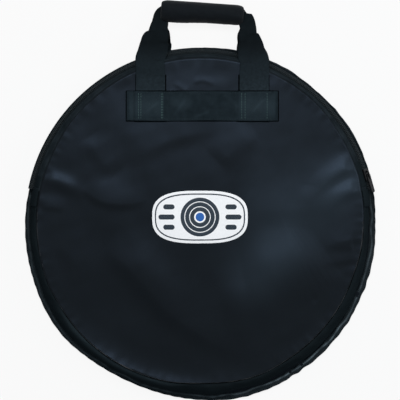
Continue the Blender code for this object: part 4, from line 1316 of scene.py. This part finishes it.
# Rings of the cymbal: outer and inner radius
cymbal_rings = ((0.0325, 0.0262), (0.0248, 0.0180), (0.0166, 0.0098))
# Bars beside it: place up from the middle, and half length
bar_rows = ((0.0170, 0.0095), (0.0000, 0.0135), (-0.0170, 0.0095))
bar_start = 0.0425
bar_half_height = 0.0042


def badge_outline(inset):
    """A long rounded outline round the badge's middle, set in from its edge."""
    angles = full_turn(badge_steps)
    half_width, half_height = badge_half_width - inset, badge_half_height - inset
    x = np.sign(np.cos(angles)) * np.abs(np.cos(angles)) ** badge_power * half_width
    y = np.sign(np.sin(angles)) * np.abs(np.sin(angles)) ** badge_power * half_height
    return x, y


def bar_outlines(centre, half_width, half_height):
    """A bar with round ends, and a narrow line along its middle."""
    right_angle = math.pi / 2.0
    straight = half_width - half_height
    quarter = right_angle * half_height
    reached = np.linspace(0.0, 4.0 * (straight + quarter), bar_steps, endpoint=False)
    corner = np.floor(reached / (straight + quarter)).astype(int)
    rest = reached - corner * (straight + quarter)
    forward = corner % 2 == 0
    turn_on = np.minimum(rest / quarter, 1.0) * right_angle
    turn_back = right_angle - np.minimum(np.maximum(rest - straight, 0.0) / quarter, 1.0) * right_angle
    angle = np.where(forward, turn_on, turn_back)
    run = np.maximum(rest - quarter, 0.0)
    spine = np.where(forward, straight - run, np.minimum(rest, straight))
    x_side = np.where((corner == 0) | (corner == 3), 1.0, -1.0)
    y_side = np.where(corner < 2, 1.0, -1.0)
    x = x_side * (spine + half_height * np.cos(angle))
    y = y_side * half_height * np.sin(angle)
    outer = (centre[0] + x, centre[1] + y)
    inner = (centre[0] + x_side * spine, centre[1] + 0.005 * y)
    return outer, inner


def print_layer(name, shapes, rise, finish):
    """Flat print on the panel, made of shapes that each fill the span between two outlines."""
    for index, (outer, inner, rows, is_ring) in enumerate(shapes):
        share = np.linspace(0.0, 1.0, rows)[:, None]
        x = badge_middle[0] + inner[0] + share * (outer[0] - inner[0])
        y = badge_middle[1] + inner[1] + share * (outer[1] - inner[1])
        edge = np.minimum(share, 1.0 - share) if is_ring else 1.0 - share
        soft = print_softness * (1.0 - smooth_step(edge * (rows - 1), 0.0, 1.0))
        grid = np.stack([x, y, panel_height(x, y) + rise - soft], 2)
        part_name = name + "_" + str(index + 1)
        part = cloth(part_name, grid, print_thickness, outward=(0, 0, 1), wrap_columns=True)
        place(part, finish, "case")


def ring_outline(radius, count=96):
    """A circle round the middle of the badge."""
    angles = full_turn(count)
    return radius * np.cos(angles), radius * np.sin(angles)


def make_badge():
    """A generic badge: white ground, slate border line, a cymbal seen from above and bars beside it."""
    ground = (badge_outline(0.0), ring_outline(print_centre, badge_steps), 30, False)
    border = (badge_outline(border_inset), badge_outline(border_inset + border_width), 4, True)
    cymbal = [(ring_outline(outer), ring_outline(inner), 5, True) for outer, inner in cymbal_rings]
    bars = []
    for side in (-1, 1):
        for row, length in bar_rows:
            middle = (side * (bar_start + length), row)
            bars.append((*bar_outlines(middle, length, bar_half_height), 7, False))
    bell_print = (ring_outline(bell_radius), ring_outline(print_centre), 6, False)
    print_layer("badge_ground", [ground], ground_rise, white_print)
    print_layer("badge_slate", [border, *cymbal, *bars], slate_rise, slate_print)
    print_layer("badge_bell", [bell_print], bell_rise, blue_print)


def hex_colour(text):
    """Linear colour of an sRGB hex value."""
    parts = [int(text[i:i + 2], 16) / 255.0 for i in (1, 3, 5)]
    linear = [part / 12.92 if part <= 0.04045 else ((part + 0.055) / 1.055) ** 2.4 for part in parts]
    return (*linear, 1.0)


def add_node(tree, kind, values=None, links=None, **settings):
    """Add a node with its settings, its values and what feeds it."""
    made = tree.nodes.new(kind)
    for name, value in settings.items():
        setattr(made, name, value)
    for socket, value in (values or {}).items():
        made.inputs[socket].default_value = value
    for socket, source in (links or {}).items():
        tree.links.new(source, made.inputs[socket])
    return made


def new_material(name):
    """An empty material, with its nodes and its shader."""
    material = bpy.data.materials.new(name)
    material.use_nodes = True
    return material, material.node_tree, material.node_tree.nodes["Principled BSDF"]


def set_shader(tree, shader, links, values):
    """What feeds the shader, and its plain values."""
    for socket, source in links.items():
        tree.links.new(source.outputs[0], shader.inputs[socket])
    for socket, value in values.items():
        shader.inputs[socket].default_value = value


def band_scale(spacing):
    """Scale of a wave texture whose bands lie one spacing apart. At scale 1 they lie a tenth of pi apart."""
    return math.pi / (10.0 * spacing)


def woven(name, light, dark, roughness, thread, rib=None, relief=0.25, specular=0.5, sheen=0.0, cloud=0.045,
          mapped=True, roughness_spread=0.10, gloss="#ffffff", painted_gradient=None, painted_gradient_from=0.06, painted_gradient_to=-0.06,
          painted_light=None):
    """Woven cloth or tape: crossing threads as relief, with an uneven tone as cloth has.

    Its tone wanders between light and dark over one cloud, turns along Y to a tone of painted light, and
    turns to a paler tone of painted light where the piece is painted.
    """
    fuzz_size, thread_height = 0.004, 0.0003
    material, tree, shader = new_material(name)
    spot = add_node(tree, "ShaderNodeTexCoord")
    where = spot.outputs["UV" if mapped else "Object"]
    threads = []
    for spacing, direction in ((thread, "X"), (rib or thread, "Y")):
        threads.append(add_node(
            tree, "ShaderNodeTexWave", {"Scale": band_scale(spacing), "Distortion": 0.4, "Detail": 1.0},
            {"Vector": where}, wave_type="BANDS", bands_direction=direction, wave_profile="SIN",
        ).outputs["Fac"])
    weave = add_node(tree, "ShaderNodeMath", links=dict(enumerate(threads)), operation="ADD")
    broad = add_node(
        tree, "ShaderNodeTexNoise", {"Scale": 1.0 / cloud, "Detail": 4.0, "Roughness": 0.55},
        {"Vector": spot.outputs["Object"]},
    )
    fuzz = add_node(
        tree, "ShaderNodeTexNoise", {"Scale": 1.0 / fuzz_size, "Detail": 3.0, "Roughness": 0.6},
        {"Vector": spot.outputs["Object"]},
    )
    tone = add_node(
        tree, "ShaderNodeMixRGB", {"Color1": hex_colour(dark), "Color2": hex_colour(light)},
        {"Fac": broad.outputs["Fac"]},
    )
    # Painted light: a tone that the colour turns to along Y, flecked by the fine noise
    if painted_gradient:
        parts = add_node(tree, "ShaderNodeSeparateXYZ", links={0: spot.outputs["Object"]})
        low = add_node(
            tree, "ShaderNodeMapRange", {"From Min": painted_gradient_from, "From Max": painted_gradient_to},
            {"Value": parts.outputs["Y"]},
        )
        gradient_share = add_node(
            tree, "ShaderNodeMath", links={0: low.outputs[0], 1: fuzz.outputs["Fac"]}, operation="MULTIPLY",
        )
        tone = add_node(
            tree, "ShaderNodeMixRGB", {"Color2": hex_colour(painted_gradient)},
            {"Fac": gradient_share.outputs[0], "Color1": tone.outputs[0]},
        )
    # Painted light: a paler tone where the piece is painted
    if painted_light:
        painted_share = add_node(tree, "ShaderNodeAttribute", attribute_name="painted_light")
        tone = add_node(
            tree, "ShaderNodeMixRGB", {"Color2": hex_colour(painted_light)},
            {"Fac": painted_share.outputs["Fac"], "Color1": tone.outputs[0]},
        )
    shade = add_node(
        tree, "ShaderNodeMapRange", {"From Max": 2.0, "To Min": 0.82, "To Max": 1.12},
        {"Value": weave.outputs[0]},
    )
    colour = add_node(
        tree, "ShaderNodeMixRGB", {"Fac": 1.0}, {"Color1": tone.outputs[0], "Color2": shade.outputs[0]},
        blend_type="MULTIPLY",
    )
    half = roughness_spread / 2.0
    rough = add_node(
        tree, "ShaderNodeMapRange",
        {"From Min": 0.3, "From Max": 0.7, "To Min": roughness - half, "To Max": roughness + half},
        {"Value": fuzz.outputs["Fac"]},
    )
    bump = add_node(
        tree, "ShaderNodeBump", {"Strength": relief, "Distance": thread_height},
        {"Height": weave.outputs[0]},
    )
    set_shader(tree, shader, {"Base Color": colour, "Roughness": rough, "Normal": bump}, {
        "Specular IOR Level": specular, "Specular Tint": hex_colour(gloss), "Sheen Weight": sheen,
        "Sheen Roughness": 0.5,
    })
    return material


def moulded(name, colour, roughness, specular=0.5, metallic=0.0, grain=0.002, relief=0.1, spread=0.10):
    """Plain moulded, printed or cast finish: a fine grain in its relief and its roughness."""
    grain_height = 0.0002
    half = spread / 2.0
    material, tree, shader = new_material(name)
    spot = add_node(tree, "ShaderNodeTexCoord")
    speck = add_node(
        tree, "ShaderNodeTexNoise", {"Scale": 1.0 / grain, "Detail": 3.0},
        {"Vector": spot.outputs["Object"]},
    )
    rough = add_node(
        tree, "ShaderNodeMapRange",
        {"From Min": 0.3, "From Max": 0.7, "To Min": roughness - half, "To Max": roughness + half},
        {"Value": speck.outputs["Fac"]},
    )
    tone = add_node(
        tree, "ShaderNodeMapRange", {"From Min": 0.2, "From Max": 0.8, "To Min": 0.93, "To Max": 1.0},
        {"Value": speck.outputs["Fac"]},
    )
    shade = add_node(
        tree, "ShaderNodeMixRGB", {"Fac": 1.0, "Color1": hex_colour(colour)}, {"Color2": tone.outputs[0]},
        blend_type="MULTIPLY",
    )
    bump = add_node(
        tree, "ShaderNodeBump", {"Strength": relief, "Distance": grain_height},
        {"Height": speck.outputs["Fac"]},
    )
    set_shader(tree, shader, {"Base Color": shade, "Roughness": rough, "Normal": bump}, {
        "Specular IOR Level": specular, "Metallic": metallic,
    })
    return material


# Panel: nylon pack cloth with a sprayed coat, so the weave is filled and it shines softly and coldly.
# Its threads, as those of every cloth here, are drawn coarser than the real 0.3 mm or so, to show at all
# The paler tone laid on along the panel's streaks is painted sheen
coated_cloth = woven(
    "coated_nylon_pack_cloth", "#171a1b", "#131516", 0.39, 0.0011, specular=0.165, relief=0.05,
    gloss="#b6d6ff", roughness_spread=0.06, painted_light="#303a42",
)
# Side wall: the same cloth without the shiny coat, matt and darker. Its paler tone near the top of the wall
# is painted light
gusset_cloth = woven(
    "matt_nylon_pack_cloth", "#1c2326", "#151b1e", 0.75, 0.0011, specular=0.0, relief=0.20,
    painted_light="#424f55",
)
# Strips beside the zip: the same cloth, painted a little paler as a lit copy of the side wall's cloth; the
# paler tone is painted light
strip_cloth = woven(
    "nylon_pack_cloth_painted_paler", "#2d353a", "#080c0e", 0.75, 0.0011, specular=0.0, relief=0.20,
    cloud=0.020,
)
# Lining: thin nylon taffeta over foam, smooth and a little paler than the outside
lining_taffeta = woven(
    "nylon_taffeta_lining", "#2c3034", "#23272b", 0.60, 0.0008, specular=0.15, relief=0.15, mapped=False,
)
# Handles: polypropylene webbing, whose ribs run along it and whose picks cross it, dull, with painted light
# that makes the sewn ends paler than the free loop
handle_webbing = woven(
    "ribbed_polypropylene_webbing", "#111517", "#0a0d0f", 0.60, 0.0020, 0.0016, relief=0.20, specular=0.05,
    cloud=0.012, gloss="#c4ecff", painted_gradient="#2b353b", painted_gradient_from=0.305, painted_gradient_to=0.225,
)
# Front cross strip: the same webbing, wrinkled by the seams; painted paler than the handles as a lit copy,
# and with painted highlights in places
strip_webbing = woven(
    "wrinkled_polypropylene_webbing", "#212a2f", "#0b1114", 0.60, 0.0020, 0.0016, relief=0.20, specular=0.05,
    cloud=0.012, gloss="#c4ecff", painted_light="#36434a",
)
# Bindings: grosgrain polyester tape, matt, with ribs across it that break up its edge
ribbed_tape = woven(
    "grosgrain_polyester_tape", "#262d30", "#0b0d0e", 0.70, 0.0030, 0.0016, relief=0.6, specular=0.0,
    cloud=0.008,
)
# Back binding: the same tape, with a painted highlight along its crest, and painted light that turns it
# paler towards -Y, where the rim lies in the wall's shadow
painted_light_tape = woven(
    "grosgrain_polyester_tape_painted_light", "#23292c", "#090b0c", 0.70, 0.0030, 0.0016, relief=0.6, specular=0.0,
    cloud=0.006, painted_gradient="#2c3438", painted_light="#74838a",
)
# Zip tape: tightly woven polyester, flat and matt beside the coil
herringbone_tape = woven(
    "woven_polyester_zip_tape", "#242b2e", "#1a1f22", 0.75, 0.0012, 0.0012, relief=0.4, specular=0.0,
)
# Zip coil: drawn nylon wire, smooth, so that each loop has a small highlight
coil_nylon = moulded("drawn_nylon_wire", "#2c3336", 0.46, 0.12, grain=0.004, relief=0.02)
# Grip: knitted polyester over foam, soft and matt
grip_knit = woven(
    "knitted_polyester_over_foam", "#0b0e10", "#070809", 0.74, 0.0014, 0.0012, relief=0.35, specular=0.17,
    sheen=0.06, cloud=0.010, gloss="#d8ecff",
)
# Hook and loop: moulded nylon hooks, bristly and slightly shiny, and brushed nylon loops, a dull fuzz
hook_pile = moulded("moulded_nylon_hooks", "#0d0e10", 0.60, 0.4, grain=0.0006, relief=0.5)
loop_pile = moulded("brushed_nylon_loops", "#121416", 0.90, 0.2, grain=0.0008, relief=0.8)
# Slider and pull tab: die-cast zinc with black paint, worn a little brighter at random
black_zinc = moulded(
    "painted_die_cast_zinc", "#1c1d1f", 0.36, 0.5, metallic=0.6, grain=0.003, relief=0.05, spread=0.20,
)
# Thread: bonded polyester, slightly lighter than the webbing, and a paler sort. The black after them is
# painted shadow
bonded_thread = moulded("bonded_polyester_thread", "#242f34", 0.60, 0.15, grain=0.0008, relief=0.3)
pale_thread = moulded("paler_polyester_thread", "#4a6461", 0.60, 0.15, grain=0.0008, relief=0.3)
# Painted shadow: black for thin ribbons round the cross strip and beside the sewn straps, where shade falls
painted_shadow_black = moulded("black_painted_shadow", "#040607", 0.80, 0.02, grain=0.0008, relief=0.3)
# Print: screen-printed plastic ink, an even film with a low shine
white_print = moulded("white_screen_print_ink", "#ffffff", 0.50, 0.3, grain=0.003, relief=0.05)
slate_print = moulded("slate_screen_print_ink", "#28343f", 0.50, 0.3, grain=0.003, relief=0.05)
blue_print = moulded("blue_screen_print_ink", "#2262b0", 0.50, 0.3, grain=0.003, relief=0.05)


def finish_metal():
    """Paint the slider and its pull tab, whose edges are rounded as in a casting."""
    edge_radius, edge_steps, edge_from_deg = 0.00045, 3, 25.0
    for node in ("zip_slider", "pull_tab"):
        piece = frame["nodes"][node]
        piece.data.materials.clear()
        piece.data.materials.append(black_zinc)
        rounding = piece.modifiers.new("cast_edges", "BEVEL")
        rounding.width = edge_radius
        rounding.segments = edge_steps
        rounding.limit_method = "ANGLE"
        rounding.angle_limit = math.radians(edge_from_deg)


def make_floor():
    """A white floor that keeps a little of the bag's shadow."""
    half_size, below, glow_share = 6.0, 0.0006, 0.90
    material, tree, shader = new_material("white_paper_floor")
    set_shader(tree, shader, {}, {
        "Base Color": hex_colour("#cfcfcf"), "Roughness": 0.9, "Specular IOR Level": 0.0,
    })
    glow = add_node(tree, "ShaderNodeEmission", {"Color": (1.0, 1.0, 1.0, 1.0), "Strength": 1.0})
    path = add_node(tree, "ShaderNodeLightPath")
    seen = path.outputs["Is Camera Ray"]
    for ray in ("Is Glossy Ray", "Is Transmission Ray"):
        links = {0: seen, 1: path.outputs[ray]}
        seen = add_node(tree, "ShaderNodeMath", links=links, operation="MAXIMUM").outputs[0]
    share = add_node(tree, "ShaderNodeMath", {1: glow_share}, {0: seen}, operation="MULTIPLY")
    mix = add_node(
        tree, "ShaderNodeMixShader", links={0: share.outputs[0], 1: shader.outputs[0], 2: glow.outputs[0]},
    )
    tree.links.new(mix.outputs[0], tree.nodes["Material Output"].inputs["Surface"])
    corners = ((-1, -1), (1, -1), (1, 1), (-1, 1))
    floor = make_mesh("floor", [(x * half_size, y * half_size, 0.0) for x, y in corners], [(0, 1, 2, 3)])
    floor.location.z = -below
    floor.data.materials.append(material)


def add_soft_light(name, location, target, size, power, colour):
    """A large soft lamp that the camera doesn't see."""
    data = bpy.data.lights.new(name, "AREA")
    data.shape = "RECTANGLE"
    data.size, data.size_y = size
    data.energy = power
    data.color = hex_colour(colour)[:3]
    lamp = bpy.data.objects.new(name, data)
    bpy.context.scene.collection.objects.link(lamp)
    lamp.location = location
    lamp.rotation_euler = (Vector(target) - Vector(location)).to_track_quat("-Z", "Y").to_euler()
    lamp.visible_camera = False


def make_light():
    """A plain studio: pale surroundings and a broad window on the handle side."""
    surroundings, surroundings_strength = "#e4ecf4", 0.40
    world = bpy.data.worlds.new("pale_studio")
    world.use_nodes = True
    bpy.context.scene.world = world
    tree = world.node_tree
    background = tree.nodes["Background"]
    set_shader(tree, background, {}, {
        "Color": hex_colour(surroundings), "Strength": surroundings_strength,
    })
    white = add_node(tree, "ShaderNodeBackground", {"Color": (1.0, 1.0, 1.0, 1.0), "Strength": 1.0})
    path = add_node(tree, "ShaderNodeLightPath")
    mix = add_node(
        tree, "ShaderNodeMixShader",
        links={0: path.outputs["Is Camera Ray"], 1: background.outputs[0], 2: white.outputs[0]},
    )
    tree.links.new(mix.outputs[0], tree.nodes["World Output"].inputs["Surface"])
    middle = (0.0, 0.05, 0.0)
    add_soft_light("window_light", (0.0, 1.02, 1.85), middle, (1.5, 0.5), 25.0, "#fcfdff")
    add_soft_light("side_light", (1.55, 0.40, 1.10), middle, (0.9, 0.9), 8.0, "#fcfdff")


def make_camera():
    """A camera straight above the bag, turned so that the handles point up in the picture."""
    sensor_width, view_angle_deg = 36.0, 17.64
    data = bpy.data.cameras.new("camera")
    data.sensor_width = sensor_width
    data.lens = sensor_width / (2.0 * math.tan(math.radians(view_angle_deg) / 2.0))
    data.clip_start = 0.05
    data.clip_end = 20.0
    camera = bpy.data.objects.new("camera", data)
    bpy.context.scene.collection.objects.link(camera)
    camera.location = (-0.00085, 0.0399, 2.206)
    bpy.context.scene.camera = camera


bpy.context.scene.view_settings.view_transform = "Standard"
make_camera()
make_light()
make_floor()
make_front_panel()
make_back_panel()
make_gusset()
make_back_binding()
make_inner_binding()
make_zip_strips()
make_strip_ends()
make_zip_tapes()
make_zip_coils()
make_end_tabs()
make_handle_webbing()
make_cross_strips()
make_grip()
make_strap_thread()
make_strap_shadow_lines()
make_back_thread()
make_seam_thread()
make_badge()
finish_metal()
